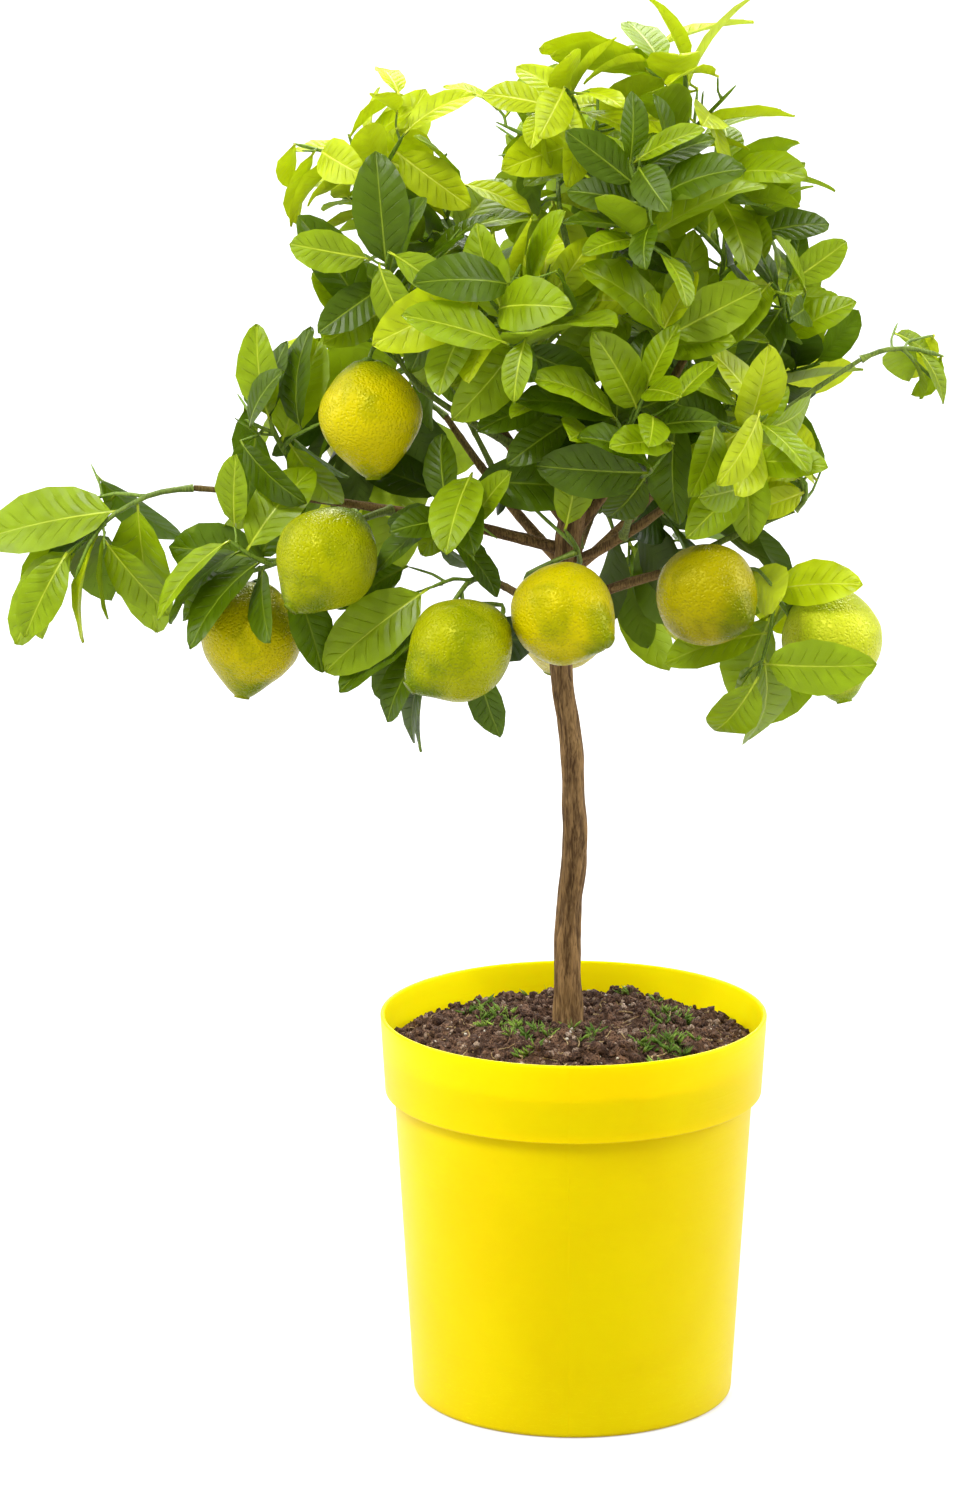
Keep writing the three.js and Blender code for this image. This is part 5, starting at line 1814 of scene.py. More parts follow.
@dataclass(frozen=True)
class PotFinish:
    """Bright yellow satin plastic: its mould's parting line, faint rubbing, soil inside the rim, and painted
    light: its inside wall takes a lighter colour than the outside.
    """

    base: Colour = on_screen(246, 207, 0)
    shade: Colour = on_screen(240, 199, 0)
    rubbed: Colour = on_screen(250, 216, 20)
    # The colour of the inside wall: lighter than the outside, as painted light on the inner wall
    fresh: Colour = on_screen(255, 228, 6)
    sheen: Colour = on_screen(255, 236, 90)
    soil: Colour = on_screen(176, 134, 36)
    roughness: float = 0.34
    gloss: float = 0.2
    rub_dulls: float = 0.25
    soil_dulls: float = 0.5
    rubbed_up_to: float = 0.07
    rubbed_above: float = 0.15
    soiled: Span = (0.250, 0.232)
    soiled_share: float = 0.38
    line_x: float = -0.004
    line_width: float = 0.0007
    line_depth: float = 0.0001
    ring_depth: float = 0.00012
    grain_depth: float = 0.00003
    let_in: float = 0.7
    through: Place = (0.012, 0.009, 0.0008)

    def build(self) -> bpy.types.Material:
        """Builds the material.

        Returns:
            The material.
        """
        paint = Paint("pot_plastic")
        places, inside = paint.places(), paint.mark("inside")
        x, _, z = paint.add("SeparateXYZ", {0: paint.add("TexCoord").outputs["Object"]}).outputs
        patches = paint.mottled(places, scale=9.0, first=self.shade, second=self.base, start=0.3, end=0.7)
        scratches = paint.noise(paint.places((1.0, 1.0, 9.0)), scale=160.0, detail=6.0, distortion=2.0)
        low = paint.sum("ADD", paint.step(z, self.rubbed_up_to, 0.0), self.rubbed_above)
        rub = paint.times(paint.step(scratches, start=0.56, end=0.72), low)
        near_soil = paint.times(paint.times(inside, paint.step(z, *self.soiled)), self.soiled_share)
        specks = paint.noise(places, scale=260.0, detail=8.0, distortion=1.0)
        film = paint.step(paint.sum("ADD", specks, near_soil), start=0.95, end=1.5)
        # Painted light: the inside wall takes the lighter colour, where the outside keeps its patches
        plain = paint.mix(inside, patches["Color"], self.fresh)
        colour = paint.mix(film, paint.mix(rub, plain, self.rubbed), self.soil)
        dull = paint.sum("ADD", paint.times(rub, self.rub_dulls), paint.times(film, self.soil_dulls))
        rough = paint.sum("ADD", dull, self.roughness)
        aside = paint.sum("ABSOLUTE", paint.sum("SUBTRACT", x, self.line_x))
        ridge = paint.times(paint.step(aside, self.line_width, 0.0), paint.sum("SUBTRACT", 1.0, inside))
        rings = paint.noise(paint.places((0.3, 0.3, 60.0)), scale=14.0, detail=2.0)
        waved = paint.bump(rings, self.ring_depth, paint.bump(ridge, self.line_depth))
        normal, _ = paint.grained(places, scale=1500.0, pits=0.3, depth=self.grain_depth, normal=waved)
        more = {"Subsurface_Weight": self.let_in, "Subsurface_Radius": self.through, "Subsurface_Scale": 1.0}
        return paint.surface(colour, rough, normal, self.gloss, Specular_Tint=self.sheen, **more)


@dataclass(frozen=True)
class EarthFinish:
    """Potting soil, a loose crumb or grain, a straw or a seedling: two tones in patches, a painted shade in
    the pits of its grain, dull and rough.
    """

    name: str
    dark: Colour
    light: Colour
    scale: float = 150.0
    roughness: float = 0.93
    grit: float = 900.0
    depth: float = 0.0006
    gloss: float = 0.25
    # How dark the painted shade in the grain's pits is, as a share of the dark tone
    hollow_tone: float = 0.6

    def build(self) -> bpy.types.Material:
        """Builds the material.

        Returns:
            The material.
        """
        paint = Paint(self.name)
        places = paint.places()
        patches = paint.mottled(places, self.scale, self.dark, self.light, start=0.38, end=0.68)
        normal, height = paint.grained(places, self.grit, pits=0.8, depth=self.depth)
        # Painted shade: the pits of the grain take a darker copy of the dark tone
        raised, painted_hollow_shade = paint.step(height, start=-0.3, end=0.6), toned(self.dark, self.hollow_tone)
        return paint.surface(paint.mix(raised, painted_hollow_shade, patches["Color"]), self.roughness, normal, self.gloss)


@dataclass(frozen=True)
class BarkFinish:
    """Bark in long fine ridges, pale on their backs and dark between, older or greener along a limb."""

    name: str
    furrow: Colour
    back: Colour
    patch: Colour
    green: Colour
    roughness: float = 0.82
    depth: float = 0.0005
    grain_share: float = 0.4
    gloss: float = 0.3
    streak_stretch: Place = (1.0, 1.0, 0.12)
    patch_stretch: Place = (1.0, 1.0, 0.4)
    ridge_share: float = 0.25
    streak_share: float = 1.1

    def build(self) -> bpy.types.Material:
        """Builds the material.

        Returns:
            The material.
        """
        paint = Paint(self.name)
        long_ways = paint.places(self.streak_stretch)
        streaks = paint.noise(long_ways, scale=1100.0, detail=8.0, distortion=0.6)
        ridge = paint.times(paint.step(paint.mark("ridge"), start=-0.75, end=0.75), self.ridge_share)
        both = paint.sum("ADD", ridge, paint.times(streaks, self.streak_share))
        tone = paint.mix(paint.step(both, start=0.42, end=0.98), self.furrow, self.back)
        wide = paint.places(self.patch_stretch)
        patches = paint.mottled(wide, scale=55.0, first=tone, second=self.patch, start=0.5, end=0.95)
        green = paint.times(paint.mark("young"), paint.step(streaks, start=0.2, end=0.7))
        colour = paint.mix(green, patches["Color"], self.green)
        relief, grain_depth = paint.bump(streaks, self.depth), self.depth * self.grain_share
        normal, _ = paint.grained(long_ways, scale=1400.0, pits=0.6, depth=grain_depth, normal=relief)
        return paint.surface(colour, self.roughness, normal, self.gloss)


@dataclass(frozen=True)
class CutWoodFinish:
    """The sawn head of the trunk: pale wood in rings, in soft patches."""

    pale: Colour = on_screen(214, 190, 150)
    ring: Colour = on_screen(168, 138, 98)
    rings: float = 6.0
    uneven: float = 0.9
    patch_tone: float = 0.85
    roughness: float = 0.85
    gloss: float = 0.5
    depth: float = 0.0003

    def build(self) -> bpy.types.Material:
        """Builds the material.

        Returns:
            The material.
        """
        paint = Paint("cut_wood")
        uneven = paint.times(paint.noise(paint.places(), scale=300.0), self.uneven)
        out = paint.times(paint.mark("out"), self.rings)
        wave = paint.sum("PINGPONG", paint.sum("ADD", out, uneven), 0.5)
        patch = toned(self.pale, self.patch_tone)
        patches = paint.mottled(paint.places(), scale=400.0, first=self.pale, second=patch)
        colour = paint.mix(paint.step(wave, start=0.3, end=0.5), patches["Color"], self.ring)
        return paint.surface(colour, self.roughness, paint.bump(wave, self.depth), self.gloss)


@dataclass(frozen=True)
class LeafFinish:
    """A waxy leaf in one tone: its upper face, its paler underside, and its midrib with the stalk."""

    upper: Colour
    under: Colour
    rib: Colour
    through: Colour
    roughness: float = 0.3
    gloss: float = 0.36
    let_through: float = 0.42
    patch_tones: Span = (0.84, 1.12)
    patch_dulls: float = 0.12
    under_dulls: float = 0.18
    bulges: Span = (0.0006, 0.0004)
    grain_depth: float = 0.00006
    rib_tone: float = 0.8
    rib_gloss: float = 0.2

    def face(self, name: str, colour: Colour, roughness: float, bulge: float) -> bpy.types.Material:
        """Builds the upper face or the underside.

        Args:
            name: The material's name.
            colour: The tone of the face.
            roughness: How dull it is.
            bulge: How far it swells between the side veins.

        Returns:
            The material: a glossy face, mixed with light that comes through from behind.
        """
        paint = Paint(name)
        places = paint.places()
        low, high = (toned(colour, tone) for tone in self.patch_tones)
        patches = paint.mottled(places, scale=70.0, first=low, second=high)
        marks = {"Along": paint.mark("along"), "Across": paint.mark("across")}
        inputs = {**marks, "Color": patches["Color"], "Vein": self.rib}
        veins = paint.add("Group", inputs, node_tree=SIDE_VEINS).outputs
        swollen = paint.bump(veins["Height"], bulge)
        normal, _ = paint.grained(places, scale=1100.0, pits=0.4, depth=self.grain_depth, normal=swollen)
        rough = paint.sum("ADD", paint.times(patches["Mask"], self.patch_dulls), roughness)
        paint.surface(veins["Color"], rough, normal, self.gloss)
        behind = paint.add("BsdfTranslucent", {"Color": self.through})
        inputs = {0: self.let_through, 1: paint.shader.outputs[0], 2: behind.outputs[0]}
        paint.feed(paint.output, {"Surface": paint.add("MixShader", inputs).outputs[0]})
        return paint.material

    def build(self, tone: Tone) -> list[bpy.types.Material]:
        """Builds the upper face, the underside and the rib of a tone.

        Args:
            tone: The tone.

        Returns:
            The three materials, in that order.
        """
        paint = Paint(f"leaf_rib_{tone.value}")
        dark = toned(self.rib, self.rib_tone)
        patches = paint.mottled(paint.places(), scale=200.0, first=self.rib, second=dark)
        above, below = self.bulges
        return [
            self.face(f"leaf_face_{tone.value}", self.upper, self.roughness, above),
            self.face(f"leaf_underside_{tone.value}", self.under, self.roughness + self.under_dulls, below),
            paint.surface(patches["Color"], self.roughness, None, self.rib_gloss),
        ]


@dataclass(frozen=True)
class LemonFinish:
    """A lemon's rind at one ripeness: greener at the stalk and nipple, in patches, and pitted with pores."""

    rind: Colour
    ends: Colour
    patch: Colour
    sheen: Colour = on_screen(255, 246, 96)
    roughness: float = 0.27
    gloss: float = 0.42
    uneven: float = 0.9
    pore_depth: float = 0.00042
    pore_tone: float = 0.2
    let_in: float = 0.1
    through: Place = (0.004, 0.003, 0.0005)

    def build(self, ripeness: Ripeness) -> bpy.types.Material:
        """Builds the material.

        Args:
            ripeness: How ripe the lemon is.

        Returns:
            The material.
        """
        paint = Paint(f"lemon_{ripeness.value}")
        places, along = paint.places(), paint.mark("along")
        uneven = paint.times(paint.sum("SUBTRACT", paint.noise(places, scale=40.0), 0.5), self.uneven)
        at_nipple = paint.step(paint.sum("ADD", along, uneven), start=0.62, end=1.08)
        at_stalk = paint.step(paint.sum("SUBTRACT", uneven, along), start=0.42, end=1.15)
        patches = paint.mottled(places, scale=34.0, first=self.rind, second=self.patch, start=0.46, end=0.74)
        normal, height = paint.grained(places, scale=640.0, pits=1.0, depth=self.pore_depth)
        colour = paint.mix(paint.sum("MAXIMUM", at_nipple, at_stalk), patches["Color"], self.ends)
        deep = paint.times(paint.step(height, start=0.1, end=-0.6), self.pore_tone)
        more = {"Subsurface_Weight": self.let_in, "Subsurface_Radius": self.through, "Subsurface_Scale": 1.0}
        rind = paint.mix(deep, colour, self.patch)
        return paint.surface(rind, self.roughness, normal, self.gloss, Specular_Tint=self.sheen, **more)


LEAF_TONES = {
    Tone.LIME: LeafFinish(
        on_screen(204, 220, 20), on_screen(200, 214, 50), on_screen(222, 230, 76), on_screen(236, 244, 24)
    ),
    Tone.FRESH: LeafFinish(
        on_screen(150, 174, 8), on_screen(162, 184, 40), on_screen(186, 202, 50), on_screen(210, 228, 12)
    ),
    Tone.FULL: LeafFinish(
        on_screen(90, 114, 2), on_screen(122, 146, 32), on_screen(134, 156, 32), on_screen(164, 192, 4)
    ),
    Tone.DEEP: LeafFinish(
        on_screen(50, 68, 1), on_screen(90, 110, 30), on_screen(90, 112, 24), on_screen(112, 144, 2)
    ),
}
LEMON_TONES = {
    Ripeness.GREEN: LemonFinish(on_screen(160, 164, 0), on_screen(80, 108, 0), on_screen(124, 136, 0)),
    Ripeness.OLIVE: LemonFinish(on_screen(158, 148, 0), on_screen(90, 104, 0), on_screen(132, 126, 0)),
    Ripeness.PALE: LemonFinish(on_screen(198, 204, 44), on_screen(128, 154, 8), on_screen(178, 190, 28)),
    Ripeness.YELLOW: LemonFinish(on_screen(196, 182, 0), on_screen(104, 124, 0), on_screen(150, 150, 0)),
}
SOIL_EARTH = EarthFinish("potting_soil", on_screen(70, 48, 34), on_screen(128, 96, 74))
CRUMB_EARTH = EarthFinish("soil_crumb_dark", on_screen(64, 44, 34), on_screen(122, 92, 72), 400.0)
PALE_EARTH = EarthFinish("soil_crumb_pale", on_screen(134, 110, 92), on_screen(184, 162, 142), 400.0)
PERLITE = EarthFinish("perlite", on_screen(196, 184, 162), on_screen(232, 226, 212), 600.0, 0.8)
STRAW_EARTH = EarthFinish("dry_straw", on_screen(150, 122, 80), on_screen(206, 182, 132), 300.0, 0.8, 1200.0)
SEEDLING_GREEN = EarthFinish(
    "seedling", on_screen(80, 112, 26), on_screen(146, 174, 66), 60.0, 0.6, 1500.0, 0.0001
)
OLD_BARK = BarkFinish(
    "bark", on_screen(76, 52, 24), on_screen(156, 122, 78), on_screen(124, 94, 56), on_screen(104, 98, 40)
)
GREEN_BARK = BarkFinish(
    "greenwood", on_screen(70, 76, 26), on_screen(132, 142, 62), on_screen(110, 108, 58),
    on_screen(116, 142, 46), 0.6, 0.0002,
)
TWIG_BARK = BarkFinish(
    "young_twig", on_screen(74, 92, 24), on_screen(138, 158, 60), on_screen(112, 122, 50),
    on_screen(118, 152, 40), 0.5, 0.0001,
)


# The pot and its soil


@dataclass
class Pot:
    """The round plastic pot: a tapered wall, a collar that stands proud, and a thin rounded rim."""

    height: float = 0.255
    foot_radius: float = 0.104
    foot_rounding: float = 0.004
    waist_radius: float = 0.116
    collar_height: float = 0.051
    collar_foot_radius: float = 0.122
    collar_rounding: float = 0.0014
    collar_lift: float = 0.0002
    fillet: float = 0.0012
    rim_radius: float = 0.125
    rim_places: int = 9
    wall: float = 0.0028
    floor: float = 0.004
    around: int = 256
    row: float = 0.008

    def build(self) -> None:
        """Builds the pot."""
        profile, inside = self.profile()
        skin = turned(profile, self.around, {"inside": inside})
        add_piece("pot_shell", skin, [PotFinish().build()], ["pot"])

    def inner_radius(self, height: float) -> float:
        """The inner radius of the wall at a height in the collar.

        Args:
            height: The height above the underside, in metres.

        Returns:
            The radius there.
        """
        foot = self.height - self.collar_height + self.wall
        share = (height - foot) / (self.height - foot)
        return lerp(self.collar_foot_radius, self.rim_radius, share) - self.wall

    def profile(self) -> tuple[Array, Array]:
        """The outline from the middle of the foot up the outside, over the rim and down inside.

        Returns:
            Radius and height of each place, and 1 for each place that lies inside.
        """
        collar_foot, half = self.height - self.collar_height, self.wall / 2
        foot_middle = (self.foot_radius - self.foot_rounding, self.foot_rounding)
        fillet_middle = (self.waist_radius + self.fillet, collar_foot - 2 * self.fillet)
        collar_middle = (self.collar_foot_radius - self.collar_rounding, collar_foot + self.collar_lift)
        outside = [
            [(0.0, 0.0)],
            rounding(-90, 0, foot_middle, self.foot_rounding),
            rounding(180, 90, fillet_middle, self.fillet),
            rounding(-90, 0, collar_middle, self.collar_rounding),
        ]
        within = [
            rounding(0, 180, (self.rim_radius - half, self.height - half), half, self.rim_places),
            [(self.collar_foot_radius - self.wall, collar_foot + self.wall)],
            [(self.waist_radius - self.wall, collar_foot), (self.foot_radius - self.wall, self.floor)],
            [(0.0, self.floor)],
        ]
        over = fine(np.concatenate(outside + within[:1]), self.row)
        under = fine(np.concatenate([over[-1:]] + within[1:]), self.row)[1:]
        past_top = self.rim_places // 2
        inside = np.concatenate([np.zeros(len(over) - past_top), np.ones(past_top + len(under))])
        return np.concatenate([over, under]), inside


@dataclass
class Soil:
    """The soil: a body that fills the pot, heaped in clods, with crumbs, straws and seedlings on it."""

    pot: Pot
    edge_height: float = 0.231
    mound_height: float = 0.246
    mound_radius: float = 0.016
    wall_gap: float = 0.0008
    shoulder: float = 0.003
    around: int = 420
    rings: int = 130
    side_step: float = 0.02
    clods: tuple[tuple[float, float], ...] = ((0.0046, 0.036), (0.0036, 0.015), (0.0018, 0.0065))
    clod_seed: int = 3
    clod_middle: float = 0.0022
    calm_width: float = 0.012
    calm_share: float = 0.25
    drawn_up: float = 0.0024
    drawn_reach: float = 0.014
    seed: int = 41
    bare_share: float = 0.02
    crumbs: int = 1500
    crumb_sizes: Span = (0.0008, 0.0044)
    pale_crumbs: int = 420
    pale_sizes: Span = (0.0008, 0.0032)
    perlite: int = 150
    perlite_sizes: Span = (0.0006, 0.0015)
    grain_outline: tuple[Span, ...] = ((0.0, -1.0), (0.894, -0.447), (0.894, 0.447), (0.0, 1.0))
    grain_stretch: Span = (0.65, 1.25)
    grain_dents: Span = (0.78, 1.18)
    grain_margin: float = 0.003
    grain_lift: float = 0.35
    straws: int = 130
    straw_rows: int = 6
    straw_margin: float = 0.012
    straw_lift: float = 0.0009
    straw_tilt: float = 0.16
    straw_lengths: Span = (0.004, 0.020)
    straw_bow: float = 0.22
    straw_radii: Span = (0.00025, 0.0006)
    leaflets: int = 10
    leaflet_margin: float = 0.006
    leaflet_rises: Span = (0.35, 1.5)
    leaflet_lengths: Span = (0.0040, 0.0115)
    leaflet_widths: Span = (0.06, 0.14)
    leaflet_sunk: float = 0.0004
    clumps: tuple[tuple[Place, int], ...] = (
        ((-0.050, 0.016, 0.018), 13),
        ((-0.030, -0.022, 0.022), 16),
        ((0.060, -0.044, 0.024), 30),
        ((0.070, 0.018, 0.018), 14),
        ((0.053, 0.050, 0.008), 3),
        ((0.031, 0.090, 0.008), 3),
        ((-0.062, 0.048, 0.008), 4),
        ((-0.022, 0.092, 0.012), 4),
        ((0.008, -0.034, 0.020), 5),
        ((-0.026, -0.070, 0.008), 3),
    )

    def __post_init__(self) -> None:
        """Works out the edge, where the soil meets the wall, and starts the random numbers."""
        self.edge = self.pot.inner_radius(self.edge_height) - self.wall_gap
        self.random = np.random.default_rng(self.seed)

    def height(self, spots: Array) -> Array:
        """The height of the soil.

        A quarter sine wave rises from the edge to the mound. Rounded clods of three sizes lie on it: each is
        the size of a smooth random wave, so that the clods meet in sharp valleys. They are lower near the
        wall, and the soil is drawn up a little round the trunk's foot.

        Args:
            spots: X and Y, (..., 2).

        Returns:
            The heights, (...).
        """
        out = np.linalg.norm(spots, axis=-1)
        share = np.clip((self.edge - out) / (self.edge - self.mound_radius), 0.0, 1.0)
        level = lerp(self.edge_height, self.mound_height, np.sin(share * math.pi / 2.0))
        flat = np.concatenate([spots, np.zeros((*spots.shape[:-1], 1))], axis=-1)
        seeded = enumerate(self.clods, self.clod_seed)
        heaped = sum(size * np.abs(wavy(flat, width, seed)) for seed, (size, width) in seeded)
        calm = 1.0 - self.calm_share
        kept = smooth_step(self.edge - out, 0.0, self.calm_width) * calm + self.calm_share
        drawn = self.drawn_up * np.exp(-((out / self.drawn_reach) ** 2))
        return level + (heaped - self.clod_middle) * kept + drawn

    def build(self) -> None:
        """Builds the body, then what lies on it."""
        pieces = {
            "soil_bed": (self.bed(), SOIL_EARTH),
            "soil_crumbs": (self.grains(self.crumbs, self.crumb_sizes), CRUMB_EARTH),
            "soil_pale_crumbs": (self.grains(self.pale_crumbs, self.pale_sizes), PALE_EARTH),
            "perlite_grains": (self.grains(self.perlite, self.perlite_sizes), PERLITE),
            "soil_straws": (self.straw(), STRAW_EARTH),
            "seedlings": (self.seedlings(), SEEDLING_GREEN),
        }
        for name, (skin, finish) in pieces.items():
            add_piece(name, skin, [finish.build()], ["soil"])

    def bed(self) -> Skin:
        """The closed body: the pot's inner form turned, with its top raised by the height.

        Returns:
            The surface.
        """
        collar_foot = self.pot.height - self.pot.collar_height
        side = [
            (0.0, self.pot.floor + CLEARANCE),
            (self.pot.foot_radius - self.pot.wall - self.wall_gap, self.pot.floor + CLEARANCE),
            (self.pot.waist_radius - self.pot.wall - self.wall_gap, collar_foot),
            (self.edge - self.shoulder, collar_foot + self.pot.wall + self.shoulder),
            (self.edge, self.edge_height - self.shoulder),
        ]
        radii = self.edge * np.linspace(1.0, 0.0, self.rings)
        top = np.column_stack([radii, np.full(self.rings, self.edge_height)])
        skin = turned(np.concatenate([fine(np.array(side), self.side_step), top]), self.around)
        raised = skin.corners[:, 2] > self.edge_height - NO_LENGTH
        skin.corners[raised, 2] = self.height(skin.corners[raised, :2])
        return skin

    def scattered(self, count: int, margin: float) -> Array:
        """Places on the soil spread evenly by area, (count, 3).

        Args:
            count: How many.
            margin: How far they keep from the wall, in metres.

        Returns:
            The places.
        """
        out = np.sqrt(self.random.uniform(self.bare_share, 1.0, count)) * (self.edge - margin)
        angle = self.random.uniform(0.0, FULL_TURN, count)
        spots = np.column_stack([out * np.cos(angle), out * np.sin(angle)])
        return np.column_stack([spots, self.height(spots)])

    def turns(self, count: int) -> Array:
        """Random turns, (count, 3, 3): two random vectors squared to each other.

        Args:
            count: How many.

        Returns:
            The turns.
        """
        first, second = unit(self.random.normal(size=(count, 3))), self.random.normal(size=(count, 3))
        third = unit(np.cross(first, second))
        return np.stack([first, np.cross(third, first), third], axis=1)

    def grains(self, count: int, sizes: Span) -> Skin:
        """Grains of twenty faces: a ball of two rings of five, each stretched, dented and turned.

        Args:
            count: How many.
            sizes: The smallest and the largest radius. Small ones are far more common.

        Returns:
            All grains as one surface.
        """
        ball = turned(np.array(self.grain_outline), 5)
        radii = lerp(*sizes, self.random.uniform(0.0, 1.0, count) ** 3)
        shapes = ball.corners[None] * self.random.uniform(*self.grain_stretch, (count, 1, 3))
        dents = self.random.uniform(*self.grain_dents, (count, len(ball.corners), 1))
        shapes = shapes * dents * radii[:, None, None]
        centres = self.scattered(count, self.grain_margin) + UP * (radii * self.grain_lift)[:, None]
        corners = shapes @ self.turns(count) + centres[:, None]
        faces = [repeated(group, count, len(ball.corners)) for group in ball.faces]
        return Skin(corners.reshape(-1, 3), faces)

    def straw(self) -> Skin:
        """Straws and root hairs that lie on the soil: four-sided tubes, each bowed to one side.

        Returns:
            All of them as one surface.
        """
        count = self.straws
        middle = self.scattered(count, self.straw_margin) + UP * self.straw_lift
        way = self.random.uniform(0.0, FULL_TURN, count)
        along = pointing(way, self.random.normal(0.0, self.straw_tilt, count))
        length = lerp(*self.straw_lengths, self.random.uniform(0.0, 1.0, count) ** 2)
        bow = self.random.uniform(-self.straw_bow, self.straw_bow, count) * length
        share = np.linspace(-0.5, 0.5, self.straw_rows)[None, :, None]
        side = unit(np.cross(UP, along))
        places = middle[:, None] + along[:, None] * share * length[:, None, None]
        places = places + side[:, None] * (1.0 - 4.0 * share**2) * bow[:, None, None]
        places[..., 2] = np.maximum(places[..., 2], self.height(places[..., :2]) + CLEARANCE)
        tangents = unit(np.gradient(places, axis=1))
        sides, rises = across(tangents, along[:, None])
        radii = self.random.uniform(*self.straw_radii, count)
        return tubes(places, sides, rises, radii[:, None, None] * np.ones((1, self.straw_rows, 4)), {})

    def seedlings(self) -> Skin:
        """Small green seedlings in clumps: leaflets of eight faces that stand out of one spot each.

        A leaflet is two points and a ring of four between them, flat from above to below.

        Returns:
            All of them as one surface.
        """
        parts = []
        for (x, y, spread), count in self.clumps:
            spots = np.array([x, y]) + self.random.normal(0.0, spread / 2.0, (count, 2))
            room = (self.edge - self.leaflet_margin) / np.linalg.norm(spots, axis=1)
            spots *= np.minimum(1.0, room)[:, None]
            parts.append(np.column_stack([spots, self.height(spots)]))
        roots = np.repeat(np.concatenate(parts), self.leaflets, axis=0)
        count = len(roots)
        way = self.random.uniform(0.0, FULL_TURN, count)
        along = pointing(way, self.random.uniform(*self.leaflet_rises, count))
        side, upper = across(along, along)
        length = self.random.uniform(*self.leaflet_lengths, count)[:, None, None]
        ring = np.array([(0.0, 0.0, 0.0), (0.55, -1.0, 0.0), (0.5, 0.0, 0.25), (0.55, 1.0, 0.0)])
        shape = np.concatenate([ring, [(0.5, 0.0, -0.25), (1.0, 0.0, 0.0)]])
        wide = self.random.uniform(*self.leaflet_widths, count)[:, None, None]
        ways = np.stack([along, side, upper], axis=1)
        stretched = shape * np.concatenate([np.ones_like(wide), wide, wide], axis=-1) * length
        corners = roots[:, None] - UP * self.leaflet_sunk + stretched @ ways
        edges = list(enumerate([2, 3, 4, 1], start=1))
        faces = np.array([(0, i, j) for i, j in edges] + [(5, j, i) for i, j in edges])
        return Skin(corners.reshape(-1, 3), [repeated(faces, count, len(shape))])


# The wood


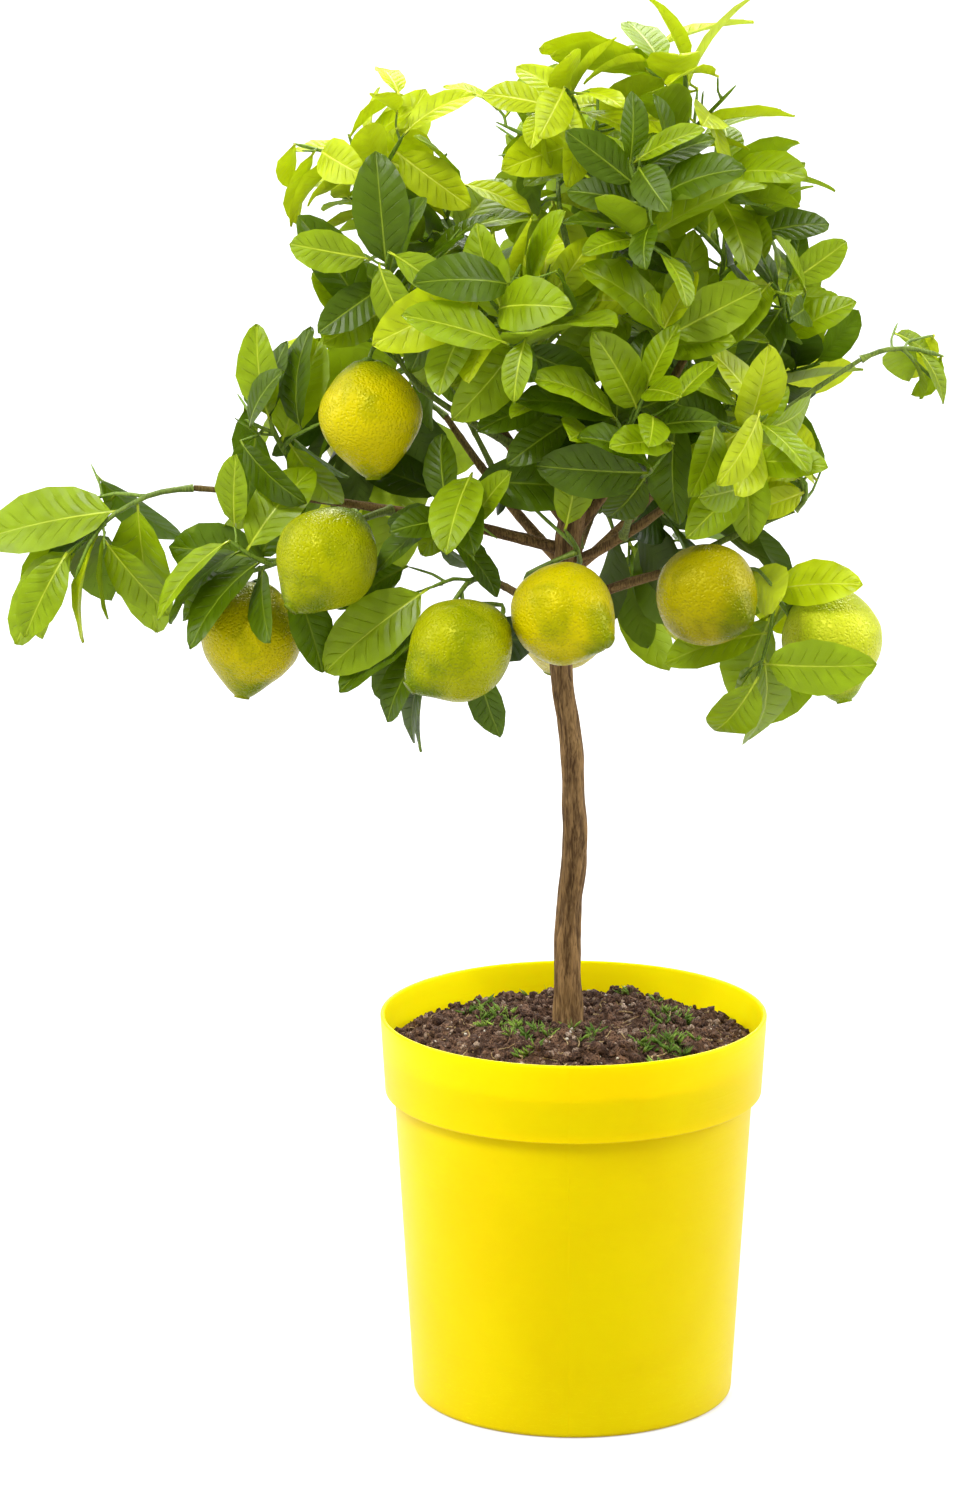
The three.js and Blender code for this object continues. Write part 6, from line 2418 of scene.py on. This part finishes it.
@dataclass
class Wood:
    """The trunk with its sawn head, the boughs in old bark, and the side boughs in green bark."""

    limbs: Limbs
    trunk_rows: int = 280
    trunk_around: int = 72
    ridges: tuple[tuple[float, float, int], ...] = ((0.00032, 0.0052, 11), (0.00016, 0.0026, 12))
    lumps: tuple[float, float, int] = (0.0005, 0.030, 13)
    lump_round: float = 0.012
    ridge_length: float = 0.14
    ridge_weights: Span = (0.7, 0.5)
    knots: tuple[tuple[float, float, float], ...] = (
        (0.335, 1.2, 0.0011), (0.432, 4.4, 0.0016), (0.512, 2.4, 0.0014), (0.566, 5.4, 0.0016),
    )
    knot_reach: float = 0.0065
    knot_squeeze: float = 0.7
    knot_fade: float = 2.0
    knot_dent: float = 0.7
    knot_dent_fade: float = 14.0
    bough_rows: int = 64
    bough_around: int = 16
    collar: float = 0.5
    collar_length: float = 0.005
    thick: Span = (0.0012, 0.005)
    thin_relief: float = 0.2
    thick_relief: float = 0.7
    joint_height: float = 0.00025
    joint_spacing: float = 0.021
    joint_first: float = 0.010
    joint_length: float = 0.0016
    side_young: float = 0.35
    young_gain: float = 0.65
    young_power: float = 1.4
    cut_rows: int = 5
    cut_heart: float = 0.12
    cut_lumps: tuple[float, float, int] = (0.00012, 0.002, 17)
    cut_rim: float = 0.0003

    def build(self) -> None:
        """Builds the trunk, then the boughs by the kind of their bark."""
        old, green, cut = OLD_BARK.build(), GREEN_BARK.build(), CutWoodFinish().build()
        add_piece("trunk_bark", self.trunk(), [old, cut], ["trunk"])
        kinds = (("boughs", old, "bark", True), ("side_boughs", green, "greenwood", False))
        for name, finish, slot, from_trunk in kinds:
            plans = [plan for plan in LIMBS if (plan.leaves == "trunk") == from_trunk]
            skin = joined([self.bough(plan) for plan in plans])
            add_piece(name, skin, [finish], [plan.name for plan in plans])

    def relief(self, angle: Array, run: Array, radius: Array) -> tuple[Array, Array]:
        """The ridges that run along a limb: random waves in a space that is squeezed along the limb.

        Args:
            angle: The angle round the limb.
            run: The distance along it.
            radius: Its plain radius.

        Returns:
            How far each corner is raised, and the larger ridges from -1 to 1.
        """
        space = np.stack([radius * np.cos(angle), radius * np.sin(angle), run * self.ridge_length], axis=-1)
        waves = [wavy(space, size, seed) for _, size, seed in self.ridges]
        raised = sum(height * wave for (height, _, _), wave in zip(self.ridges, waves))
        coarse, finer = self.ridge_weights
        return raised, np.clip(waves[0] * coarse + waves[1] * finer, -1.0, 1.0)

    def trunk(self) -> Skin:
        """The trunk: rings along its line, each column stretched to end on the sawn plane, and the cut.

        Returns:
            The surface.
        """
        line = self.limbs.lines["trunk"]
        angle = ring_angles(self.trunk_around)[None]
        share = np.linspace(0.0, 1.0, self.trunk_rows)[:, None]
        slope, top = math.tan(TRUNK.cut_slant), line.at(1.0)
        steady = line.chord()
        height = TRUNK.top - TRUNK.foot
        side, rise = across(line.heading(1.0), steady)
        edge_x = (side[0] * np.cos(angle) + rise[0] * np.sin(angle)) * TRUNK.head_radius
        last = (TRUNK.top - TRUNK.cut_drop - edge_x * slope - TRUNK.foot) / height
        along = share * np.minimum(last, 1.0)
        run, plain, centres = along * height, TRUNK.radius(along), line.at(along)
        raised, ridge = self.relief(np.broadcast_to(angle, along.shape), run, plain)
        lump, size, seed = self.lumps
        around = np.stack([np.cos(angle), np.sin(angle), 0 * angle], axis=-1) * self.lump_round
        raised += lump * wavy(centres + around, size, seed)
        for knot_z, knot_angle, knot_height in self.knots:
            away = np.angle(np.exp(1j * (angle - knot_angle))) * plain
            up = run - (knot_z - TRUNK.foot)
            far = (away**2 + (up * self.knot_squeeze) ** 2) / self.knot_reach**2
            dent = self.knot_dent * np.exp(-far * self.knot_dent_fade)
            raised += knot_height * (np.exp(-far * self.knot_fade) - dent)
        sides, rises = across(line.heading(along), steady)
        ways = sides * np.cos(angle)[..., None] + rises * np.sin(angle)[..., None]
        corners = centres + ways * (plain + raised)[..., None]
        middle = np.array([top[0], 0.0, TRUNK.top - TRUNK.cut_drop])
        corners[-1, :, 2] = middle[2] - (corners[-1, :, 0] - middle[0]) * slope
        walls = grid_faces(self.trunk_rows, self.trunk_around, True)[:, ::-1]
        foot = np.arange(self.trunk_around)[None]
        creases = np.zeros(along.shape, int)
        creases[-1] = 1
        marks = {"ridge": ridge.reshape(-1), "young": np.zeros(ridge.size)}
        bark = Skin(corners.reshape(-1, 3), [walls, foot], marks, creases.reshape(-1))
        return joined([bark, self.cut(corners[-1])])

    def cut(self, edge: Array) -> Skin:
        """The sawn face: rings that shrink from the bark's edge to its middle, raised inside it and rough.

        Args:
            edge: The places where the bark ends, one row each.

        Returns:
            The surface.
        """
        share = np.linspace(1.0, self.cut_heart, self.cut_rows)[:, None, None]
        heart = edge.mean(0)
        rings = heart + (edge[None] - heart) * share
        height, size, seed = self.cut_lumps
        rings[1:] += UP * height * wavy(rings[1:], size, seed)[..., None]
        rings[1] += UP * self.cut_rim
        corners = np.concatenate([rings.reshape(-1, 3), heart[None]])
        around = len(edge)
        walls = grid_faces(self.cut_rows, around, True)[:, ::-1]
        last = len(corners) - 1
        inner = np.arange(last - around, last)
        fan = np.stack([np.full(around, last), np.roll(inner, -1), inner], axis=-1)
        creases = np.concatenate([np.ones(around, int), np.zeros(len(corners) - around, int)])
        out = np.concatenate([np.repeat(share.ravel(), around), [0.0]])
        slots = [np.ones(len(walls), int), np.ones(len(fan), int)]
        return Skin(corners, [walls, fan], {"out": out, "ridge": 0 * out, "young": 0 * out}, creases, slots)

    def bough(self, plan: LimbPlan) -> Skin:
        """One bough: a tube on its line with a collar at its root, ridged, and greener towards its tip.

        Args:
            plan: The bough's row of the plan.

        Returns:
            The surface.
        """
        line = self.limbs.lines[plan.name]
        share = np.linspace(0.0, 1.0, self.bough_rows)
        run = share * line.length()
        angle = np.broadcast_to(ring_angles(self.bough_around)[None], (self.bough_rows, self.bough_around))
        swell = 1.0 + self.collar * np.exp(-((run / self.collar_length) ** 2))
        plain = (lerp(*plan.radii, share) * swell)[:, None] * np.ones_like(angle)
        raised, ridge = self.relief(angle, run[:, None] * np.ones_like(angle) + hash_of(plan.name), plain)
        fade = smooth_step(plain, *self.thick) * self.thick_relief + self.thin_relief
        past_joint = np.mod(run, self.joint_spacing) - self.joint_first
        joints = self.joint_height * np.exp(-(past_joint / self.joint_length) ** 2)[:, None]
        radii = plain + raised * fade + joints
        places = rounded_line(line, SHOOT.limb_steps, share)
        sides, rises = across(unit(np.gradient(places, axis=0)), line.chord())
        first = 0.0 if plan.leaves == "trunk" else self.side_young
        young = lerp(first, first + self.young_gain, share**self.young_power)[:, None] * np.ones_like(angle)
        marks = {"ridge": ridge[None], "young": young[None]}
        return tubes(places[None], sides[None], rises[None], radii[None], marks)


def hash_of(name: str, step: float = 0.37, most: float = 10.0) -> float:
    """A distance that differs from name to name, to shift a pattern by, from its letters and their places."""
    return step * sum(index * ord(letter) for index, letter in enumerate(name, start=1)) % most


def rounded_line(line: MiddleLine, steps: int, shares: Array, roundness: float = 0.4) -> Array:
    """Places along a line between the straight stretches that its solid follows and its true curve.

    Args:
        line: The middle line.
        steps: How many straight stretches its solid has.
        shares: The shares of the way along it that are wanted.
        roundness: The share of the way from the stretches to the curve.

    Returns:
        The places, one row each.
    """
    knots = np.linspace(0.0, 1.0, steps + 1)
    places = line.at(knots)
    straight = np.stack([np.interp(shares, knots, places[:, i]) for i in range(3)], axis=-1)
    return lerp(straight, line.at(shares), roundness)


# The foliage and the fruit

# The finishes of a leaf, as LeafFinish.build gives them
LEAF_FACE, LEAF_UNDERSIDE, LEAF_RIB = range(3)


@dataclass
class Foliage:
    """The twigs, the leaves by tone, and the lemons by ripeness."""

    crown: Crown
    twig_rows: int = 9
    twig_around: int = 6
    twig_seed: int = 77
    twig_unevenness: Span = (0.88, 1.16)
    knuckle: float = 0.45
    knuckle_length: float = 0.0028
    bud: float = 0.45
    stem_young: float = 0.15
    twig_young: float = 0.55
    young_gain: float = 0.4
    leaf_rows: tuple[float, ...] = (0.0, 0.07, 0.16, 0.31, 0.5, 0.69, 0.85, 0.95, 1.0)
    leaf_columns: tuple[float, ...] = (-1.0, -0.55, 0.0, 0.0, 0.55, 1.0, 0.0)
    rib_sides: tuple[int, ...] = (0, 0, -1, 1, 0, 0, 0)
    rib_column: int = 2
    last_column: int = 5
    full_blade: float = 0.25
    stalk_half_width: float = 0.0009
    rib_half_width: Span = (0.0006, 0.00016)
    tip_half_width: float = 0.0004
    fullness: Span = (0.93, 0.62)
    thickness: float = 0.00045
    keel: float = 0.0010
    keel_fade: float = 0.7
    pillow: float = 0.010
    waves: Span = (0.004, 0.022)
    wave_count: Span = (1.4, 2.6)
    lemon_rows: int = 60
    lemon_around: int = 64
    lemon_lumps: tuple[Span, ...] = ((0.0006, 0.045), (0.0002, 0.016))
    lemon_seeds: float = 1e5
    crown_dent: float = 0.0016
    crown_dent_share: float = 0.02
    calyx_radius: float = 0.0052
    calyx_rim: float = 0.0008
    calyx_foot: tuple[Span, ...] = ((0.0, -0.0014), (0.0020, -0.0012), (0.0036, -0.0002))
    calyx_top: float = 0.0014
    calyx_around: int = 20
    calyx_points: float = 5.0
    calyx_notch: float = 0.22
    calyx_sunk: float = 0.0004

    def build(self) -> None:
        """Builds each kind of piece."""
        masses = [mass.plan.name for mass in self.crown.masses]
        add_piece("twigs", self.twigs(), [TWIG_BARK.build()], masses)
        for tone in Tone:
            leaves = [leaf for leaf in self.crown.leaves if TONES.tone(leaf.light) == tone]
            finishes = LEAF_TONES[tone].build(tone)
            add_piece(f"leaves_{tone.value}", self.leaves(leaves), finishes, masses)
            log.info("leaves in the tone %s: %d", tone.value, len(leaves))
        calyx = SEEDLING_GREEN.build()
        for ripeness in Ripeness:
            lemons = [lemon for lemon in self.crown.lemons if lemon.plan.ripeness == ripeness]
            bearing = [m.plan.name for m in self.crown.masses if any(lemon in lemons for lemon in m.lemons)]
            skin = joined([self.lemon(lemon) for lemon in lemons])
            finish = LEMON_TONES[ripeness].build(ripeness)
            add_piece(f"lemons_{ripeness.value}", skin, [finish, calyx], bearing)

    def twigs(self) -> Skin:
        """All stems, twigs, sprigs and stalks as thin tubes with a swollen root and a bud at the tip.

        Returns:
            All of them as one surface.
        """
        shoots = self.crown.shoots()
        share = np.linspace(0.0, 1.0, self.twig_rows)
        places = np.stack([rounded_line(shoot.line, shoot.steps, share) for shoot in shoots])
        chords = np.stack([shoot.line.chord() for shoot in shoots])
        radii = np.stack([lerp(*shoot.radii, share) for shoot in shoots])
        run = share * np.linalg.norm(chords, axis=-1, keepdims=True)
        radii *= 1.0 + self.knuckle * np.exp(-((run / self.knuckle_length) ** 2))
        random = np.random.default_rng(self.twig_seed)
        radii *= random.uniform(*self.twig_unevenness, radii.shape)
        radii[:, -1] *= self.bud
        sides, rises = across(unit(np.gradient(places, axis=1)), chords[:, None])
        around = radii[..., None] * np.ones((1, 1, self.twig_around))
        old = np.array([shoot.radii[0] > SHOOT.radius for shoot in shoots])
        young = np.where(old, self.stem_young, self.twig_young)[:, None] + self.young_gain * share
        young = young[..., None] * np.ones_like(around)
        ridge = random.uniform(-1.0, 1.0, around.shape)
        return tubes(places, sides, rises, around, {"young": young, "ridge": ridge})

    def half_width(self, along: Array) -> Array:
        """Half the width of a blade as a share of its widest: sin(pi s^a)^b, s from the stalk to the tip.

        Args:
            along: The share of the way from the stalk to the tip.

        Returns:
            The share of the width.
        """
        share = np.clip((along - LEAF.neck) / (1.0 - LEAF.neck), 0.0, 1.0)
        power, roundness = self.fullness
        return np.maximum(np.sin(math.pi * share**power), 0.0) ** roundness

    def leaves(self, leaves: list[Leaf]) -> Skin:
        """All leaves of one tone: closed blades with a midrib, a keel beneath, a fold and a wavy edge.

        A leaf's rows run from its stalk to its tip. Six columns lie on its upper face and one on the keel.
        The upper face swells between midrib and edge, and its edge waves up and down along it.

        Args:
            leaves: The leaves of the tone.

        Returns:
            All of them as one surface.
        """
        each_leaf = zip(*((leaf.root, leaf.heading, leaf.upper, leaf.length, leaf.curl) for leaf in leaves))
        stack = Leaf(*(np.array(values)[:, None, None] for values in each_leaf))
        random = np.random.default_rng(len(leaves))
        count, rows, columns = len(leaves), len(self.leaf_rows), len(self.leaf_columns)
        along = np.array(self.leaf_rows)[None, :, None] * np.ones((count, 1, columns))
        column = np.array(self.leaf_columns)[None, None]
        wide = self.half_width(along) * stack.length * LEAF.half_width
        wide = np.maximum(wide, np.where(along > 0.5, self.tip_half_width, self.stalk_half_width))
        rib = np.minimum(lerp(*self.rib_half_width, along), wide * 0.5)
        sideways = column * wide + np.array(self.rib_sides) * rib
        blade_part = smooth_step(along, LEAF.neck, self.full_blade)
        left, right = random.uniform(0.0, FULL_TURN, (2, count, 1, 1))
        height = random.uniform(*self.waves, (count, 1, 1)) * stack.length
        turns = random.uniform(*self.wave_count, (count, 1, 1)) * FULL_TURN
        wave = np.sin(along * turns + np.where(column < 0, left, right)) * column**2 * height * blade_part
        swell = self.pillow * stack.length * 4.0 * np.abs(column) * (1.0 - np.abs(column)) * blade_part
        under = -self.thickness - self.keel * (1.0 - self.keel_fade * along)
        lift = np.where(np.arange(columns) > self.last_column, under, wave + swell)
        corners = blade(stack, along, sideways, lift)
        corners[:, 0] -= stack.heading[:, 0] * LEAF.sunk
        first = grid_faces(rows, columns, True)[:, 0]
        strip = first % columns
        at_rib = (strip == self.rib_column) | (first < columns)
        finish = np.select([at_rib, strip >= self.last_column], [LEAF_RIB, LEAF_UNDERSIDE], LEAF_FACE)
        slots = [np.tile(finish, count), np.full(count, LEAF_RIB), np.full(count, LEAF_RIB)]
        creases = np.tile(np.array([1, 0, 0, 0, 0, 2, 0]), count * rows)
        marks = {"along": along.reshape(-1), "across": (column * np.ones_like(along)).reshape(-1)}
        return Skin(corners.reshape(-1, 3), capped(rows, columns, count, 1), marks, creases, slots)

    def lemon(self, lemon: Lemon) -> Skin:
        """One lemon: its profile turned about its axis, uneven all over, with its calyx at the stalk.

        The radius is R sin(pi s)^f, s from the stalk to the nipple, and the nipple adds a small bell.

        Args:
            lemon: The lemon's place and axis.

        Returns:
            The surface.
        """
        share = 0.5 - 0.5 * np.cos(math.pi * np.linspace(0.0, 1.0, self.lemon_rows))
        body = LEMON.radius * np.abs(np.sin(math.pi * share)) ** LEMON.fullness
        bell = np.exp(-(((share - 1.0) / LEMON.nipple_spread) ** 2))
        radius = np.maximum(body, LEMON.nipple_radius * bell)
        radius[[0, -1]] = 0.0
        dent = self.crown_dent * np.exp(-((share / self.crown_dent_share) ** 2))
        profile = np.column_stack([radius, (share - 0.5) * LEMON.length + LEMON.nipple * bell + dent])
        skin = turned(profile, self.lemon_around, {"along": share * 2.0 - 1.0})
        seed = int(abs(lemon.middle[0]) * self.lemon_seeds)
        outward = unit(skin.corners + NUDGE)
        for step, (height, size) in enumerate(self.lemon_lumps):
            skin.corners = skin.corners + outward * height * wavy(skin.corners, size, seed + step)[:, None]
        calyx = self.calyx()
        calyx.corners = calyx.corners + UP * (profile[0, 1] - self.calyx_sunk)
        both = joined([skin, calyx])
        both.slots = [slots + (1 if i >= len(skin.faces) else 0) for i, slots in enumerate(both.slots)]
        return placed(both, lemon.middle, lemon.axis)

    def calyx(self) -> Skin:
        """The green button between stalk and rind: a low cone whose rim has five blunt points.

        Returns:
            The surface.
        """
        outline = [*self.calyx_foot, (self.calyx_radius, self.calyx_rim), (0.0, self.calyx_top)]
        skin = turned(np.array(outline), self.calyx_around)
        angle = np.arctan2(skin.corners[:, 1], skin.corners[:, 0])
        out = np.linalg.norm(skin.corners[:, :2], axis=1) / self.calyx_radius
        notched = self.calyx_notch * out * (1.0 - np.cos(angle * self.calyx_points)) / 2.0
        skin.corners[:, :2] *= (1.0 - notched)[:, None]
        return skin


# The studio


@dataclass(frozen=True)
class Lamp:
    """A wide soft light from far away: the way it comes from, its power and its spread, in degrees."""

    name: str
    azimuth: float
    elevation: float
    power: float
    spread: float


@dataclass
class Studio:
    """A white floor in even white light, and the camera at the height of the crown."""

    pitch: float = 13.63
    focal_pixels: float = 6428.0
    frame_pixels: float = 1497.0
    sensor: float = 36.0
    far: float = 100.0
    floor_half: float = 30.0
    lamps: tuple[Lamp, ...] = (
        Lamp("key_left", -40.0, 55.0, 1.6, 16.0),
        Lamp("glint", -22.0, 48.0, 0.8, 3.0),
        Lamp("side_left", -95.0, 30.0, 1.6, 40.0),
        Lamp("side_right", 95.0, 30.0, 2.1, 40.0),
        Lamp("back", 175.0, 45.0, 2.9, 40.0),
    )
    sky: float = 0.56
    backdrop: float = 1.0
    floor_white: float = 0.45
    floor_roughness: float = 0.9
    floor_gloss: float = 0.5
    floor_glow: float = 0.5

    def build(self) -> None:
        """Sets the world, the lamps, the floor and the camera."""
        self.set_world()
        for lamp in self.lamps:
            self.add_lamp(lamp)
        self.add_floor()
        self.add_camera()

    def set_world(self) -> None:
        """White light from all round, and plain colours on the screen."""
        world = bpy.data.worlds.new("studio_white")
        world.use_nodes = True
        nodes = Nodes(world.node_tree)
        seen = nodes.add("LightPath").outputs["Is Camera Ray"]
        inputs = {"Value": seen, "To Min": self.sky, "To Max": self.backdrop}
        strength = nodes.add("MapRange", inputs).outputs[0]
        nodes.feed(world.node_tree.nodes["Background"], {"Color": WHITE, "Strength": strength})
        bpy.context.scene.world = world
        bpy.context.scene.view_settings.view_transform = "Standard"
        bpy.context.scene.view_settings.look = "None"

    def add_lamp(self, lamp: Lamp) -> None:
        """Adds a light that comes from a way: azimuth 0 is the front, and 90 the right.

        Args:
            lamp: The light.
        """
        light = bpy.data.lights.new(lamp.name, "SUN")
        light.energy, light.angle = lamp.power, math.radians(lamp.spread)
        holder = bpy.data.objects.new(lamp.name, light)
        holder.rotation_euler = (math.radians(90.0 - lamp.elevation), 0.0, math.radians(lamp.azimuth))
        bpy.context.scene.collection.objects.link(holder)

    def add_floor(self) -> None:
        """Adds the floor, level with the pot's underside."""
        mesh = bpy.data.meshes.new("studio_floor")
        half = self.floor_half
        corners = [(-half, -half, 0.0), (half, -half, 0.0), (half, half, 0.0), (-half, half, 0.0)]
        mesh.from_pydata(corners, [], [(0, 1, 2, 3)])
        paint = Paint("white_floor")
        seen = paint.times(paint.add("LightPath").outputs["Is Camera Ray"], self.floor_glow)
        white, glow = toned(WHITE, self.floor_white), {"Emission_Color": WHITE, "Emission_Strength": seen}
        mesh.materials.append(paint.surface(white, self.floor_roughness, None, self.floor_gloss, **glow))
        floor = bpy.data.objects.new("studio_floor", mesh)
        bpy.context.scene.collection.objects.link(floor)

    def add_camera(self) -> None:
        """Adds the camera: level with the crown's top, looking down a little at the whole plant."""
        camera = bpy.data.cameras.new("camera")
        camera.lens = self.focal_pixels / self.frame_pixels * self.sensor
        camera.sensor_width, camera.sensor_fit, camera.clip_end = self.sensor, "AUTO", self.far
        holder = bpy.data.objects.new("camera", camera)
        holder.location = EYE.tolist()
        holder.rotation_euler = (math.radians(90.0 - self.pitch), 0.0, 0.0)
        bpy.context.scene.collection.objects.link(holder)
        bpy.context.scene.camera = holder


def main() -> None:
    """Builds the studio, the pot and its soil, the wood, then the foliage with its fruit."""
    logging.basicConfig(level=logging.INFO, format="%(name)s: %(message)s")
    Studio().build()
    pot = Pot()
    pot.build()
    Soil(pot).build()
    crown = Crown()
    crown.grow_finer()
    Wood(crown.limbs).build()
    Foliage(crown).build()


if __name__ == "__main__":
    main()
